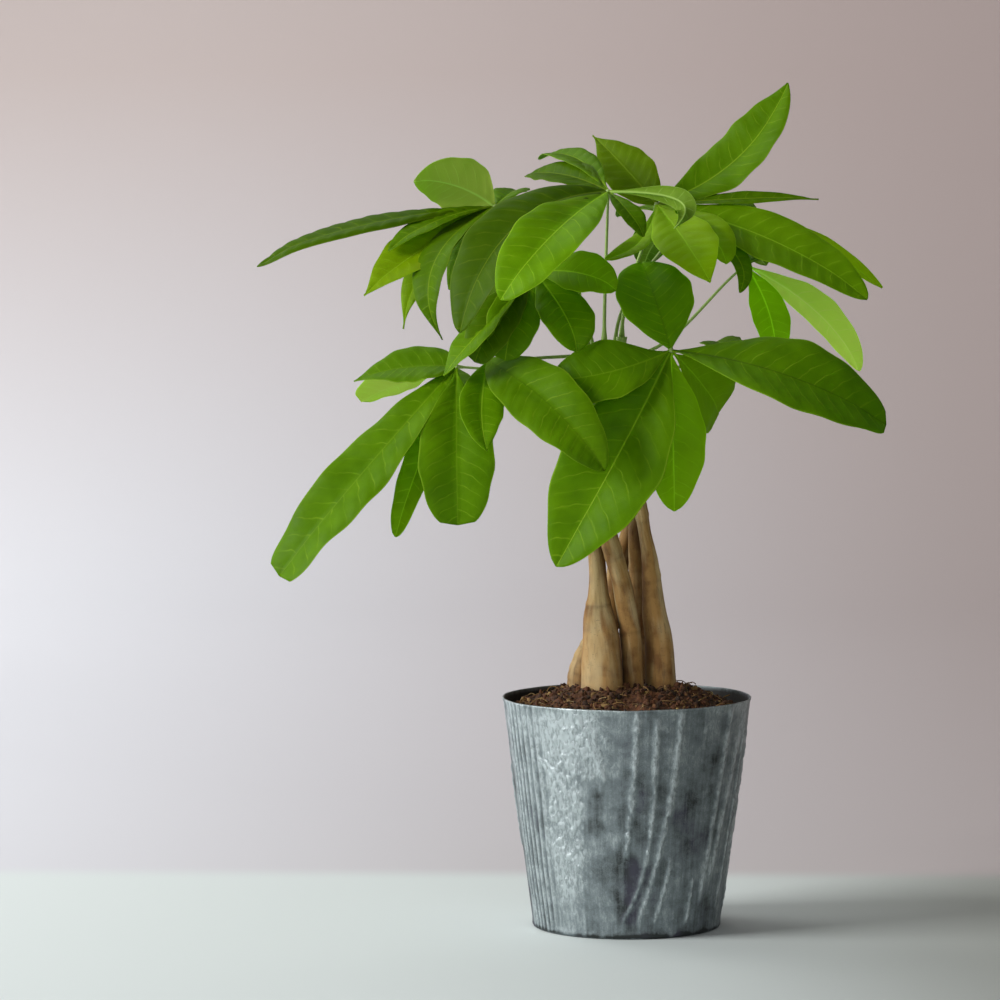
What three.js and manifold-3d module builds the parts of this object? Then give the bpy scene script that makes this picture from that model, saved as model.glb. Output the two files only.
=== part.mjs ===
// A potted money tree: five young trunks braided together in a tapered zinc pot of soil,
// with a crown of palmate leaves. Millimetres, +Z up, the origin at the middle of the pot's foot.

import * as THREE from 'three';
import { mergeVertices } from 'three/addons/utils/BufferGeometryUtils.js';
import Module from 'manifold-3d';

const wasm = await Module();
wasm.setup();

// ---------------------------------------------------------------- driving dimensions

const CLEARANCE = 0.3;            // kept between any two pieces that touch on the real plant

const POT_HEIGHT = 120;
const POT_RIM_RADIUS = 65;
const POT_FOOT_RADIUS = 49;
const POT_WALL = 1.2;
const POT_FLOOR = 1.6;
const POT_FOOT_ROUND = 1.2;       // the small turned edge at the foot
const POT_SEGMENTS = 72;

const SOIL_WALL_HEIGHT = 115;     // where the soil meets the pot's wall
const SOIL_MOUND_HEIGHT = 126;    // the top of the mound between the trunks
const SOIL_MOUND_RADIUS = 26;     // the mound stays high out to here, then falls to the wall
const SOIL_CRUMB = 1.2;           // how far the crumbs stand up or lie deep
const SOIL_RINGS = 8;
const SOIL_SEGMENTS = 36;

const TRUNK_TOP = 272;
const TRUNK_SIDES = 9;
const TRUNK_STEPS = 20;
const BARK_FLUTE = 0.05;          // the bark's shallow fluting, as a share of the radius
const BARK_FLUTES = 3;            // how many flutes there are round a trunk
const BARK_FLUTE_TURN = 9;        // how far they wind round it on the way up, in radians

const SHOOT_SIDES = 8;
const SHOOT_STEPS = 4;
const SHOOT_FOOT_RADIUS = 3.1;
const SHOOT_TIP_RADIUS = 2.4;

const PETIOLE_FOOT_RADIUS = 1.2;
const PETIOLE_HUB_RADIUS = 0.85;
const PETIOLE_SIDES = 5;
const PETIOLE_STEPS = 8;
const HUB_RADIUS = 1.8;           // the swollen joint that the leaflets spring from

const BLADE_THICKNESS = 0.7;
const BLADE_FOLD = 0.27;          // how far the margins lift, as a share of the half width
const BLADE_BASE_WIDTH = 1.4;
const BLADE_TIP_WIDTH = 1.2;
const BLADE_STATIONS = [0, 0.1, 0.28, 0.5, 0.72, 0.9, 1];
const BLADE_PEAK = 1.15;          // above 1, the blade is widest past its middle
const BLADE_TAPER = 1.1;          // how slim the blade starts at the hub
const BLADE_POINT = 0.6;          // how slim it ends: less is blunt, more is drawn out

// ---------------------------------------------------------------- where the trunks run
// Each trunk's path, from its root end up: [x, y, z, radius]. They lean on each other in a
// loose braid that turns clockwise, seen from above, on the way up.

const TRUNKS = [
  {
    name: 'trunk_left_front',
    path: [
      [-12, -13, 90, 6], [-12.4, -14, 116, 10.4], [-12.5, -14, 128, 10.9], [-13.6, -12.8, 152, 9.3],
      [-14.8, -11.6, 163, 7.9], [-14.9, -10.6, 174, 5.3], [-15.3, -9.2, 186, 4.5],
      [-16.8, -6.2, 204, 3.9], [-17.5, 0, 232, 3.9], [-16.4, 6.1, 262, 3.9], [-16.4, 6.1, 272, 3.9],
    ],
  },
  {
    name: 'trunk_front',
    path: [
      [4, -8, 90, 4], [4, -8.5, 116, 5.4], [3.6, -9, 130, 5.4], [2.1, -10.8, 152, 5.5],
      [-0.5, -12, 168, 5.3], [-3.5, -13, 183, 4.8], [-6.7, -13.6, 194, 4.9], [-9.8, -13.8, 205, 4.7],
      [-16, -10, 235, 4.2], [-19.1, -2.3, 262, 4], [-19.1, -2.3, 272, 3.9],
    ],
  },
  {
    name: 'trunk_right_front',
    path: [
      [18, -2, 90, 5], [18.2, -3, 116, 8], [17.9, -3, 133, 8], [16.4, -4, 152, 7.2],
      [14.4, -4.6, 163, 6.6], [12.8, -5.4, 178, 5.3], [11.2, -6.4, 194, 4.2], [9.2, -7.6, 206, 3.2],
      [5.5, -10, 225, 3.5], [-4, -10.5, 246, 3.8], [-12, -7.5, 264, 3.9], [-12, -7.5, 272, 3.8],
    ],
  },
  {
    name: 'trunk_left_back',
    path: [
      [-23.8, 4, 90, 5], [-24.2, 4, 116, 6.9], [-24, 4.5, 132, 6.3], [-17.5, 7.5, 147, 5.6],
      [-9, 10.5, 159, 5.5], [-6, 11.5, 174, 4.8], [-4.4, 11.8, 187, 4.6], [0.8, 11.8, 202, 4.3],
      [2.5, 10.5, 217, 4.2], [-1, 8.5, 244, 4], [-7.6, 6.1, 264, 3.8], [-7.6, 6.1, 272, 3.8],
    ],
  },
  {
    name: 'trunk_right_back',
    path: [
      [3.5, 17, 90, 5], [3.5, 17, 116, 8], [3.5, 16.6, 128, 8.2], [3.2, 16.3, 148, 7.6],
      [3.6, 15.2, 157, 7.1], [5, 10.8, 168, 5.6], [5.4, 5.6, 184, 4.8], [4.6, 2.4, 200, 4.2],
      [4.4, -0.2, 226, 3.9], [-1, -2, 248, 3.9], [-4.9, -2.3, 264, 3.8], [-4.9, -2.3, 272, 3.8],
    ],
  },
];

// ---------------------------------------------------------------- where the shoots stand
// One green shoot grows on from the top of each trunk, in the same order as the trunks.

const SHOOTS = [
  { name: 'shoot_back_left', top: [-18, 7.5, 297] },
  { name: 'shoot_left', top: [-21, -2.5, 303] },
  { name: 'shoot_front', top: [-12, -9, 305] },
  { name: 'shoot_back_right', top: [-6.5, 7.5, 300] },
  { name: 'shoot_right', top: [-3, -2.5, 307] },
];

// ---------------------------------------------------------------- where the leaves reach
// One palmate leaf an entry. Its petiole leaves the top of a shoot, or its side at a height.
// A leaflet runs from the hub to its tip. bow is how far its middle stands off the straight
// line between them, and face is the way that its upper side looks. peak, taper and point
// say where it is widest and how slim it starts and ends, where it isn't the usual leaflet.

const LEAVES = [
  {
    name: 'leaf_front_right', shoot: 2, from: 290, hub: [22, -62, 303],
    leaflets: [
      {
        tip: [7, -22, 348], width: 39, bow: [0, -8, 2], face: [0, -0.75, 0.65],
        peak: 1.1, taper: 0.95, point: 0.5,
      },
      {
        tip: [131, -75, 267], width: 49, bow: [2, -14, 7], face: [0.25, -0.65, 0.72],
        peak: 1.2, point: 0.38,
      },
      { tip: [-36, -92, 196], width: 54, bow: [3, -7, 3], face: [-0.1, -0.85, 0.5], point: 0.65 },
      { tip: [24, -80, 223], width: 33, bow: [0, -1, 0], face: [0.15, -0.9, 0.35] },
      { tip: [-41, -66, 288], width: 37, bow: [0, -9, -3], face: [-0.1, -0.8, 0.55] },
      { tip: [48, -36, 270], width: 42, bow: [2, 0, 0], face: [0.3, -0.8, 0.5], peak: 1.6, point: 0.12 },
    ],
  },
  {
    name: 'leaf_front_left', shoot: 1, from: 298, hub: [-71, -45, 297],
    leaflets: [
      {
        tip: [-11, -106, 245], width: 35, bow: [3, -14, 5], face: [-0.1, -0.85, 0.5],
        peak: 0.85, taper: 0.7,
      },
      { tip: [-70, -88, 254], width: 23, bow: [-3, -8, -2], face: [0.1, -0.9, 0.4], peak: 0.9, point: 0.9 },
      { tip: [-46, -4, 276], width: 20, bow: [0, 2, -2], face: [-0.3, 0.2, 0.9] },
      { tip: [-32, -26, 270], width: 22, bow: [2, 2, 0], face: [0.3, 0.3, 0.9] },
    ],
  },
  {
    name: 'leaf_left_low', shoot: 1, from: 288, hub: [-88, -22, 293],
    leaflets: [
      {
        tip: [-178, -56, 188], width: 34, bow: [1, -8, 3], face: [-0.35, -0.75, 0.55],
        peak: 1.25, taper: 0.7, point: 0.2,
      },
      { tip: [-119, -46, 207], width: 17, bow: [-2, -5, -3], face: [-0.3, -0.9, 0.3], point: 0.5 },
      { tip: [-86, -60, 214], width: 39, bow: [0, -9, 0], face: [0, -0.95, 0.3], peak: 1.25, point: 0.28 },
      {
        tip: [-142, -12, 286], width: 27, bow: [1, 0, 3], face: [-0.3, -0.6, 0.75],
        peak: 0.75, taper: 0.7, point: 1.1,
      },
      { tip: [-140, 24, 274], width: 30, bow: [0, 6, 1], face: [-0.3, 0.5, 0.8], peak: 2, point: 0.35 },
      { tip: [-87, 44, 247], width: 26, bow: [-2, 8, 6], face: [0, 0.7, 0.6] },
    ],
  },
  {
    name: 'leaf_left_inner', shoot: 2, from: 296, hub: [-48, -40, 342],
    leaflets: [
      { tip: [-5, -58, 334], width: 27, bow: [2, -5, 4], face: [0.2, -0.8, 0.6] },
      { tip: [-25, -72, 303], width: 29, bow: [4, -6, 0], face: [0.3, -0.85, 0.4] },
      { tip: [-62, -64, 298], width: 27, bow: [-2, -6, 0], face: [0, -0.9, 0.4], point: 0.42 },
      { tip: [-94, -64, 291], width: 25, bow: [-1, -8, -1], face: [-0.7, -0.5, 0.45], point: 0.9 },
      { tip: [-77, 10, 347], width: 22, bow: [0, 1, 4], face: [-0.3, 0.1, 0.9] },
      { tip: [-78, -62, 297], width: 26, bow: [-3, -8, -1], face: [-0.2, -0.8, 0.5], point: 0.4 },
    ],
  },
  {
    name: 'leaf_left_top', shoot: 1, from: 'top', hub: [-69, 5, 375],
    leaflets: [
      { tip: [-111, -8, 389], width: 33, bow: [1, 2, 4], face: [-0.1, 0.85, 0.5], peak: 0.9, point: 0.7 },
      { tip: [-192, -24, 348], width: 22, bow: [-2, -4, 5], face: [-0.2, -0.35, 0.93] },
      { tip: [-123, -30, 354], width: 17, bow: [-1, 0, 4], face: [-0.3, -0.5, 0.8] },
      { tip: [-135, -40, 331], width: 30, bow: [-3, -5, 1], face: [-0.4, -0.75, 0.5], point: 1.2 },
      { tip: [-116, -26, 313], width: 20, bow: [-9, -2, 4], face: [-0.5, -0.75, 0.4], point: 1.8 },
      {
        tip: [-95, -46, 307], width: 24, bow: [-17, -20, 5], face: [-0.6, -0.7, 0.3],
        peak: 0.8, taper: 0.7, point: 1.3,
      },
      { tip: [-94, 8, 332], width: 14, bow: [-2, 0, 6], face: [-0.5, -0.5, 0.3] },
      { tip: [-58, 60, 383], width: 18, bow: [2, 0, 3], face: [0, -0.1, 0.95] },
    ],
  },
  {
    name: 'leaf_crown_front', shoot: 2, from: 'top', hub: [-10, -35, 383],
    leaflets: [
      { tip: [-85, -84, 313], width: 38, bow: [-10, -10, 17], face: [-0.5, -0.6, 0.6], taper: 0.7 },
      { tip: [-64, -98, 330], width: 38, bow: [0, -14, 6], face: [-0.4, -0.75, 0.55], taper: 0.8 },
      { tip: [23, -66, 365], width: 13, bow: [19, -6, 5], face: [0, 0.9, 0.35], point: 1.2 },
      { tip: [9, -60, 361], width: 14, bow: [0, -6, 2], face: [0.4, -0.75, 0.5] },
      { tip: [-54, 10, 392], width: 25, bow: [0, -2, 4], face: [-0.2, -0.4, 0.9], point: 1 },
      { tip: [-47, 34, 401], width: 18, bow: [2, 0, 8], face: [-0.1, -0.25, 0.95] },
    ],
  },
  {
    name: 'leaf_crown_right', shoot: 4, from: 'top', hub: [15, 15, 376],
    leaflets: [
      {
        tip: [83, 34, 440], width: 34, bow: [9, 0, -7], face: [-0.45, -0.75, 0.5],
        peak: 1.05, taper: 1, point: 0.8,
      },
      { tip: [99, 6, 380], width: 10, bow: [-1, -2, 1], face: [0, -0.6, 0.8], point: 1.2 },
      { tip: [123, -30, 329], width: 33, bow: [4, -2, 6], face: [0.2, -0.75, 0.62] },
      { tip: [133, 10, 334], width: 20, bow: [4, 6, 8], face: [0.2, -0.5, 0.8] },
      { tip: [51, -32, 347], width: 24, bow: [6, -6, 2], face: [0.3, -0.8, 0.5] },
      { tip: [42, -50, 338], width: 32, bow: [0, -8, 2], face: [0.1, -0.9, 0.4], point: 1 },
      { tip: [58, -30, 332], width: 12, bow: [16, -4, 0], face: [0.4, -0.8, 0.4] },
      {
        tip: [-19, 50, 413], width: 27, bow: [1, -2, 0], face: [-0.3, -0.7, 0.65],
        peak: 0.85, taper: 0.8, point: 1.4,
      },
      { tip: [-11, -42, 350], width: 13, bow: [4, -6, -6], face: [-0.3, -0.8, 0.5] },
    ],
  },
  {
    name: 'leaf_right_inner', shoot: 4, from: 298, hub: [61, -5, 345],
    leaflets: [
      { tip: [76, -26, 298], width: 20, bow: [4, -4, 0], face: [0.2, -0.9, 0.3] },
      { tip: [122, 14, 290], width: 24, bow: [6, 4, 4], face: [0.4, 0.7, 0.6] },
      { tip: [120, 76, 343], width: 26, bow: [0, 6, 9], face: [0.2, 0.1, 0.95] },
      { tip: [77, 90, 346], width: 24, bow: [4, 4, 4], face: [0.1, 0.2, 0.95] },
    ],
  },
  {
    name: 'leaf_back_right_high', shoot: 3, from: 'top', hub: [28, 72, 366],
    leaflets: [
      { tip: [8, 118, 342], width: 26, bow: [-1, 8, 4], face: [-0.2, 0.8, 0.5] },
      { tip: [38, 148, 340], width: 31, bow: [1, 9, 7], face: [0, 0.85, 0.5] },
      { tip: [76, 130, 343], width: 27, bow: [2, 7, 5], face: [0.3, 0.75, 0.6] },
      { tip: [70, 96, 372], width: 24, bow: [1, 2, 5], face: [0.2, 0.2, 0.9] },
      { tip: [-6, 110, 370], width: 22, bow: [0, 2, 5], face: [-0.2, 0.2, 0.9] },
    ],
  },
  {
    name: 'leaf_back_left_high', shoot: 0, from: 'top', hub: [-57, 70, 358],
    leaflets: [
      { tip: [-90, 108, 316], width: 26, bow: [-2, 9, 6], face: [-0.4, 0.75, 0.5] },
      { tip: [-63, 136, 296], width: 32, bow: [-2, 14, 8], face: [0, 0.85, 0.5] },
      { tip: [-31, 124, 310], width: 28, bow: [2, 10, 5], face: [0.3, 0.75, 0.6] },
      { tip: [-38, 104, 346], width: 22, bow: [2, 4, 3], face: [0.3, 0.2, 0.9] },
      { tip: [-58, 150, 366], width: 26, bow: [-1, 2, 9], face: [0, 0.2, 0.95] },
      { tip: [-96, 104, 356], width: 22, bow: [0, 1, 5], face: [-0.3, 0.2, 0.9] },
    ],
  },
  {
    name: 'leaf_back_right_low', shoot: 3, from: 290, hub: [57, 50, 292],
    leaflets: [
      { tip: [34, 94, 280], width: 26, bow: [0, 7, 4], face: [-0.2, 0.8, 0.5] },
      { tip: [68, 122, 292], width: 31, bow: [1, 6, 6], face: [0.1, 0.85, 0.5] },
      { tip: [106, 98, 290], width: 30, bow: [1, 6, 5], face: [0.4, 0.6, 0.6] },
      { tip: [100, 64, 290], width: 24, bow: [0, 4, 5], face: [0.3, 0.2, 0.9] },
      { tip: [46, 104, 300], width: 22, bow: [-1, 2, 5], face: [-0.2, 0.3, 0.9] },
    ],
  },
  {
    name: 'leaf_back_left_low', shoot: 0, from: 288, hub: [-91, 46, 274],
    leaflets: [
      { tip: [-126, 86, 244], width: 26, bow: [-2, 8, 5], face: [-0.4, 0.75, 0.5] },
      { tip: [-102, 102, 214], width: 32, bow: [-2, 12, 5], face: [-0.1, 0.85, 0.5] },
      { tip: [-86, 78, 216], width: 22, bow: [2, 12, 2], face: [0.3, 0.75, 0.5] },
      { tip: [-76, 96, 260], width: 22, bow: [0, 6, 4], face: [0.3, 0.3, 0.9] },
      { tip: [-112, 112, 268], width: 22, bow: [0, 5, 4], face: [-0.3, 0.3, 0.9] },
    ],
  },
  {
    name: 'leaf_back_low', shoot: 3, from: 280, hub: [-9, 66, 275],
    leaflets: [
      { tip: [-34, 104, 238], width: 26, bow: [0, 8, 5], face: [-0.4, 0.75, 0.5] },
      { tip: [-3, 114, 212], width: 32, bow: [0, 13, 4], face: [0, 0.9, 0.4] },
      { tip: [24, 106, 236], width: 27, bow: [1, 9, 5], face: [0.4, 0.75, 0.5] },
      { tip: [18, 128, 266], width: 24, bow: [2, 2, 5], face: [0.2, 0.3, 0.9] },
      { tip: [-36, 128, 268], width: 22, bow: [0, 2, 5], face: [-0.2, 0.3, 0.9] },
    ],
  },
];

// ---------------------------------------------------------------- materials

function material(color, roughness, metalness) {
  return new THREE.MeshStandardMaterial({ color, roughness, metalness });
}

const ZINC = material(0x8c938f, 0.5, 0.85);
const SOIL = material(0x4a3222, 0.95, 0);
const BARK = material(0x9c7c50, 0.8, 0);
const SHOOT_GREEN = material(0x9db865, 0.5, 0);
const LEAF_GREEN = material(0x4f7d12, 0.42, 0);

// ---------------------------------------------------------------- small helpers

function vector(numbers) {
  return new THREE.Vector3(numbers[0], numbers[1], numbers[2]);
}

// A closed geometry with only its positions, each vertex there once.
function welded(geometry) {
  const plain = geometry.clone();
  plain.deleteAttribute('normal');
  plain.deleteAttribute('uv');
  return mergeVertices(plain, 1e-4);
}

function toSolid(geometry) {
  const closed = welded(geometry);
  const vertProperties = new Float32Array(closed.attributes.position.array);
  const triVerts = new Uint32Array(closed.index.array);
  return new wasm.Manifold(new wasm.Mesh({ numProp: 3, vertProperties, triVerts }));
}

function toGeometry(solid) {
  const mesh = solid.getMesh();
  const geometry = new THREE.BufferGeometry();
  geometry.setAttribute('position', new THREE.BufferAttribute(mesh.vertProperties, 3));
  geometry.setIndex(new THREE.BufferAttribute(mesh.triVerts, 1));
  return geometry;
}

function fuse(solids) {
  return solids.reduce((whole, solid) => whole.add(solid));
}

function named(name, geometry, finish) {
  const mesh = new THREE.Mesh(geometry, finish);
  mesh.name = name;
  return mesh;
}

function indexed(points, triangles) {
  const geometry = new THREE.BufferGeometry();
  geometry.setAttribute('position', new THREE.Float32BufferAttribute(points, 3));
  geometry.setIndex(triangles);
  return geometry;
}

// A repeatable value from -1 to 1 for a pair of whole numbers.
function crumb(i, j) {
  const wave = Math.sin(i * 127.1 + j * 311.7) * 43758.5453;
  return 2 * (wave - Math.floor(wave)) - 1;
}

// A closed tube of changing radius along a curve. ringRadius gives the radius for the share
// of the way along and the angle round.
function taperedTube(curve, steps, sides, ringRadius) {
  const frames = curve.computeFrenetFrames(steps, false);
  const points = [];
  const triangles = [];
  for (let step = 0; step <= steps; step++) {
    const along = step / steps;
    const middle = curve.getPointAt(along);
    for (let side = 0; side < sides; side++) {
      const angle = (2 * Math.PI * side) / sides;
      const radius = ringRadius(along, angle);
      const point = middle.clone();
      point.addScaledVector(frames.normals[step], radius * Math.cos(angle));
      point.addScaledVector(frames.binormals[step], radius * Math.sin(angle));
      points.push(point.x, point.y, point.z);
    }
  }
  for (let step = 0; step < steps; step++) {
    for (let side = 0; side < sides; side++) {
      const a = step * sides + side;
      const b = step * sides + ((side + 1) % sides);
      triangles.push(a, b, b + sides, a, b + sides, a + sides);
    }
  }
  const last = steps * sides;
  for (let side = 1; side < sides - 1; side++) {
    triangles.push(0, side + 1, side);
    triangles.push(last, last + side, last + side + 1);
  }
  return indexed(points, triangles);
}

// ---------------------------------------------------------------- the pot and its soil

function potRadiusAt(height) {
  return POT_FOOT_RADIUS + (POT_RIM_RADIUS - POT_FOOT_RADIUS) * (height / POT_HEIGHT);
}

function makePot() {
  const outline = [
    [0, 0],
    [POT_FOOT_RADIUS - POT_FOOT_ROUND, 0],
    [potRadiusAt(POT_FOOT_ROUND), POT_FOOT_ROUND],
    [potRadiusAt(POT_HEIGHT / 3), POT_HEIGHT / 3],
    [potRadiusAt((2 * POT_HEIGHT) / 3), (2 * POT_HEIGHT) / 3],
    [POT_RIM_RADIUS, POT_HEIGHT],
    [POT_RIM_RADIUS - POT_WALL, POT_HEIGHT],
    [potRadiusAt(POT_HEIGHT / 2) - POT_WALL, POT_HEIGHT / 2],
    [potRadiusAt(POT_FLOOR) - POT_WALL, POT_FLOOR],
    [0, POT_FLOOR],
  ];
  const lathe = new THREE.LatheGeometry(outline.map(([r, z]) => new THREE.Vector2(r, z)), POT_SEGMENTS);
  lathe.rotateX(Math.PI / 2);
  return named('pot', toGeometry(toSolid(lathe)), ZINC);
}

// The soil's height at a distance from the middle: a low mound with crumbs on it.
function soilHeightAt(radius, wall, ring, segment) {
  const fall = THREE.MathUtils.smoothstep(radius, SOIL_MOUND_RADIUS, wall);
  const mound = THREE.MathUtils.lerp(SOIL_MOUND_HEIGHT, SOIL_WALL_HEIGHT, fall);
  return mound + SOIL_CRUMB * crumb(ring, segment);
}

function makeSoil(trunkHoles) {
  const floor = POT_FLOOR + CLEARANCE;
  const floorRadius = potRadiusAt(floor) - POT_WALL - CLEARANCE;
  const wallRadius = potRadiusAt(SOIL_WALL_HEIGHT) - POT_WALL - CLEARANCE;
  const points = [0, 0, floor];
  const triangles = [];
  const ringStart = (ring) => 1 + ring * SOIL_SEGMENTS;
  for (let ring = 0; ring <= SOIL_RINGS; ring++) {
    const radius = ring === 0 ? floorRadius : (wallRadius * (SOIL_RINGS + 1 - ring)) / SOIL_RINGS;
    for (let segment = 0; segment < SOIL_SEGMENTS; segment++) {
      const angle = (2 * Math.PI * segment) / SOIL_SEGMENTS;
      let height = floor;
      if (ring === 1) height = SOIL_WALL_HEIGHT;
      if (ring > 1) height = soilHeightAt(radius, wallRadius, ring, segment);
      points.push(radius * Math.cos(angle), radius * Math.sin(angle), height);
    }
  }
  const summit = points.length / 3;
  points.push(0, 0, SOIL_MOUND_HEIGHT);
  for (let segment = 0; segment < SOIL_SEGMENTS; segment++) {
    const next = (segment + 1) % SOIL_SEGMENTS;
    triangles.push(0, ringStart(0) + next, ringStart(0) + segment);
    for (let ring = 0; ring < SOIL_RINGS; ring++) {
      const a = ringStart(ring) + segment;
      const b = ringStart(ring) + next;
      triangles.push(a, b, b + SOIL_SEGMENTS, a, b + SOIL_SEGMENTS, a + SOIL_SEGMENTS);
    }
    triangles.push(ringStart(SOIL_RINGS) + segment, ringStart(SOIL_RINGS) + next, summit);
  }
  const mound = toSolid(indexed(points, triangles));
  return named('soil', toGeometry(mound.subtract(fuse(trunkHoles))), SOIL);
}

// ---------------------------------------------------------------- the trunks and shoots

function trunkCurve(path) {
  return new THREE.CatmullRomCurve3(path.map(vector), false, 'centripetal');
}

// The radius at a height, from the path's own radii, smooth between its points.
function trunkRadiusAt(path, height) {
  for (let i = 1; i < path.length; i++) {
    const [, , lowZ, lowRadius] = path[i - 1];
    const [, , highZ, highRadius] = path[i];
    if (height <= highZ) {
      return THREE.MathUtils.lerp(lowRadius, highRadius, (height - lowZ) / (highZ - lowZ));
    }
  }
  return path[path.length - 1][3];
}

function trunkTube(path, extra) {
  const curve = trunkCurve(path);
  return taperedTube(curve, TRUNK_STEPS, TRUNK_SIDES, (along, angle) => {
    const radius = trunkRadiusAt(path, curve.getPointAt(along).z);
    const flute = 1 + BARK_FLUTE * Math.sin(BARK_FLUTES * angle + BARK_FLUTE_TURN * along);
    return radius * flute + extra;
  });
}

function makeTrunk(trunk) {
  return named(trunk.name, toGeometry(toSolid(trunkTube(trunk.path, 0))), BARK);
}

function shootFoot(index) {
  const [x, y] = TRUNKS[index].path.at(-1);
  return new THREE.Vector3(x, y, TRUNK_TOP + CLEARANCE);
}

// A shoot starts straight up from its trunk and ends straight up, a little to one side.
function shootCurve(index) {
  const foot = shootFoot(index);
  const top = vector(SHOOTS[index].top);
  const third = (top.z - foot.z) / 3;
  const low = foot.clone().setZ(foot.z + third);
  const high = top.clone().setZ(top.z - third);
  return new THREE.CubicBezierCurve3(foot, low, high, top);
}

// How far up its shoot a height is, as a share of the shoot's length.
function shootShareAt(index, height) {
  const foot = shootFoot(index);
  return (height - foot.z) / (SHOOTS[index].top[2] - foot.z);
}

function shootRadiusAt(share) {
  return THREE.MathUtils.lerp(SHOOT_FOOT_RADIUS, SHOOT_TIP_RADIUS, share);
}

function makeShoot(shoot, index) {
  const tube = taperedTube(shootCurve(index), SHOOT_STEPS, SHOOT_SIDES, shootRadiusAt);
  return named(shoot.name, toGeometry(toSolid(tube)), SHOOT_GREEN);
}

// ---------------------------------------------------------------- the leaves

// The petiole's first point and direction: straight up from a shoot's top, or straight out
// of its side towards the leaf.
function petioleStart(leaf) {
  const hub = vector(leaf.hub);
  if (leaf.from === 'top') {
    const start = vector(SHOOTS[leaf.shoot].top);
    start.z += CLEARANCE;
    return { start, direction: new THREE.Vector3(0, 0, 1) };
  }
  const share = shootShareAt(leaf.shoot, leaf.from);
  const start = shootCurve(leaf.shoot).getPoint(share);
  const direction = hub.sub(start).setZ(0).normalize();
  start.addScaledVector(direction, shootRadiusAt(share) + CLEARANCE);
  return { start, direction };
}

function petioleTube(leaf) {
  const { start, direction } = petioleStart(leaf);
  const hub = vector(leaf.hub);
  const reach = start.distanceTo(hub) / 3;
  const arrival = hub.clone().sub(start).normalize();
  const curve = new THREE.CubicBezierCurve3(
    start,
    start.clone().addScaledVector(direction, reach),
    hub.clone().addScaledVector(arrival, -reach),
    hub,
  );
  return taperedTube(curve, PETIOLE_STEPS, PETIOLE_SIDES, (along) => (
    THREE.MathUtils.lerp(PETIOLE_FOOT_RADIUS, PETIOLE_HUB_RADIUS, along)
  ));
}

// A leaflet's half width along its length: narrow at the hub, widest past the middle, and
// drawn to a short point.
function bladeHalfWidth(leaflet, along) {
  const { width, peak = BLADE_PEAK, taper = BLADE_TAPER, point = BLADE_POINT } = leaflet;
  const swell = Math.sin(Math.PI * along ** peak);
  const outline = Math.max(swell, 0) ** THREE.MathUtils.lerp(taper, point, along);
  const least = THREE.MathUtils.lerp(BLADE_BASE_WIDTH, BLADE_TIP_WIDTH, along) / 2;
  return Math.max((width / 2) * outline, least);
}

function bladeCurve(hub, leaflet) {
  const tip = vector(leaflet.tip);
  const middle = hub.clone().lerp(tip, 0.5).addScaledVector(vector(leaflet.bow), 2);
  return new THREE.QuadraticBezierCurve3(hub, middle, tip);
}

// One leaflet: a thin blade folded up along its rib, the same triangles on both its faces.
function makeBlade(hub, leaflet) {
  const curve = bladeCurve(hub, leaflet);
  const face = vector(leaflet.face);
  const points = [];
  const triangles = [];
  BLADE_STATIONS.forEach((along) => {
    const middle = curve.getPoint(along);
    const tangent = curve.getTangent(along);
    const across = tangent.clone().cross(face).normalize();
    const up = across.clone().cross(tangent).normalize();
    const half = bladeHalfWidth(leaflet, along);
    [1, -1].forEach((skin) => {
      [-1, 0, 1].forEach((side) => {
        const point = middle.clone();
        point.addScaledVector(across, side * half);
        point.addScaledVector(up, Math.abs(side) * half * BLADE_FOLD + (skin * BLADE_THICKNESS) / 2);
        points.push(point.x, point.y, point.z);
      });
    });
  });
  const stride = points.length / 3 / BLADE_STATIONS.length;
  const quad = (a, b, c, d) => triangles.push(a, b, c, a, c, d);
  for (let station = 0; station < BLADE_STATIONS.length - 1; station++) {
    const i = station * stride;
    const j = i + stride;
    for (let column = 0; column < 2; column++) {
      quad(i + column, i + column + 1, j + column + 1, j + column);
      triangles.push(i + 3 + column, j + 4 + column, i + 4 + column);
      triangles.push(i + 3 + column, j + 3 + column, j + 4 + column);
    }
    quad(i + 2, i + 5, j + 5, j + 2);
    quad(i + 3, i, j, j + 3);
  }
  const end = (BLADE_STATIONS.length - 1) * stride;
  for (let column = 0; column < 2; column++) {
    quad(column + 1, column, column + 3, column + 4);
    quad(end + column, end + column + 1, end + column + 4, end + column + 3);
  }
  return indexed(points, triangles);
}

function makeLeaf(leaf) {
  const hub = vector(leaf.hub);
  const knob = new THREE.IcosahedronGeometry(HUB_RADIUS, 0).translate(hub.x, hub.y, hub.z);
  const pieces = [petioleTube(leaf), knob];
  leaf.leaflets.forEach((leaflet) => pieces.push(makeBlade(hub, leaflet)));
  return named(leaf.name, toGeometry(fuse(pieces.map(toSolid))), LEAF_GREEN);
}

// ---------------------------------------------------------------- the whole plant

const moneyTree = new THREE.Group();
moneyTree.add(makePot());
moneyTree.add(makeSoil(TRUNKS.map((trunk) => toSolid(trunkTube(trunk.path, CLEARANCE)))));
TRUNKS.forEach((trunk) => moneyTree.add(makeTrunk(trunk)));
SHOOTS.forEach((shoot, index) => moneyTree.add(makeShoot(shoot, index)));
LEAVES.forEach((leaf) => moneyTree.add(makeLeaf(leaf)));

export default moneyTree;
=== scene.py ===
"""The looks of a potted money tree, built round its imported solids. Sizes are in millimetres."""

import itertools
import logging
import math
from dataclasses import dataclass, field
from enum import Enum, IntEnum

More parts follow.
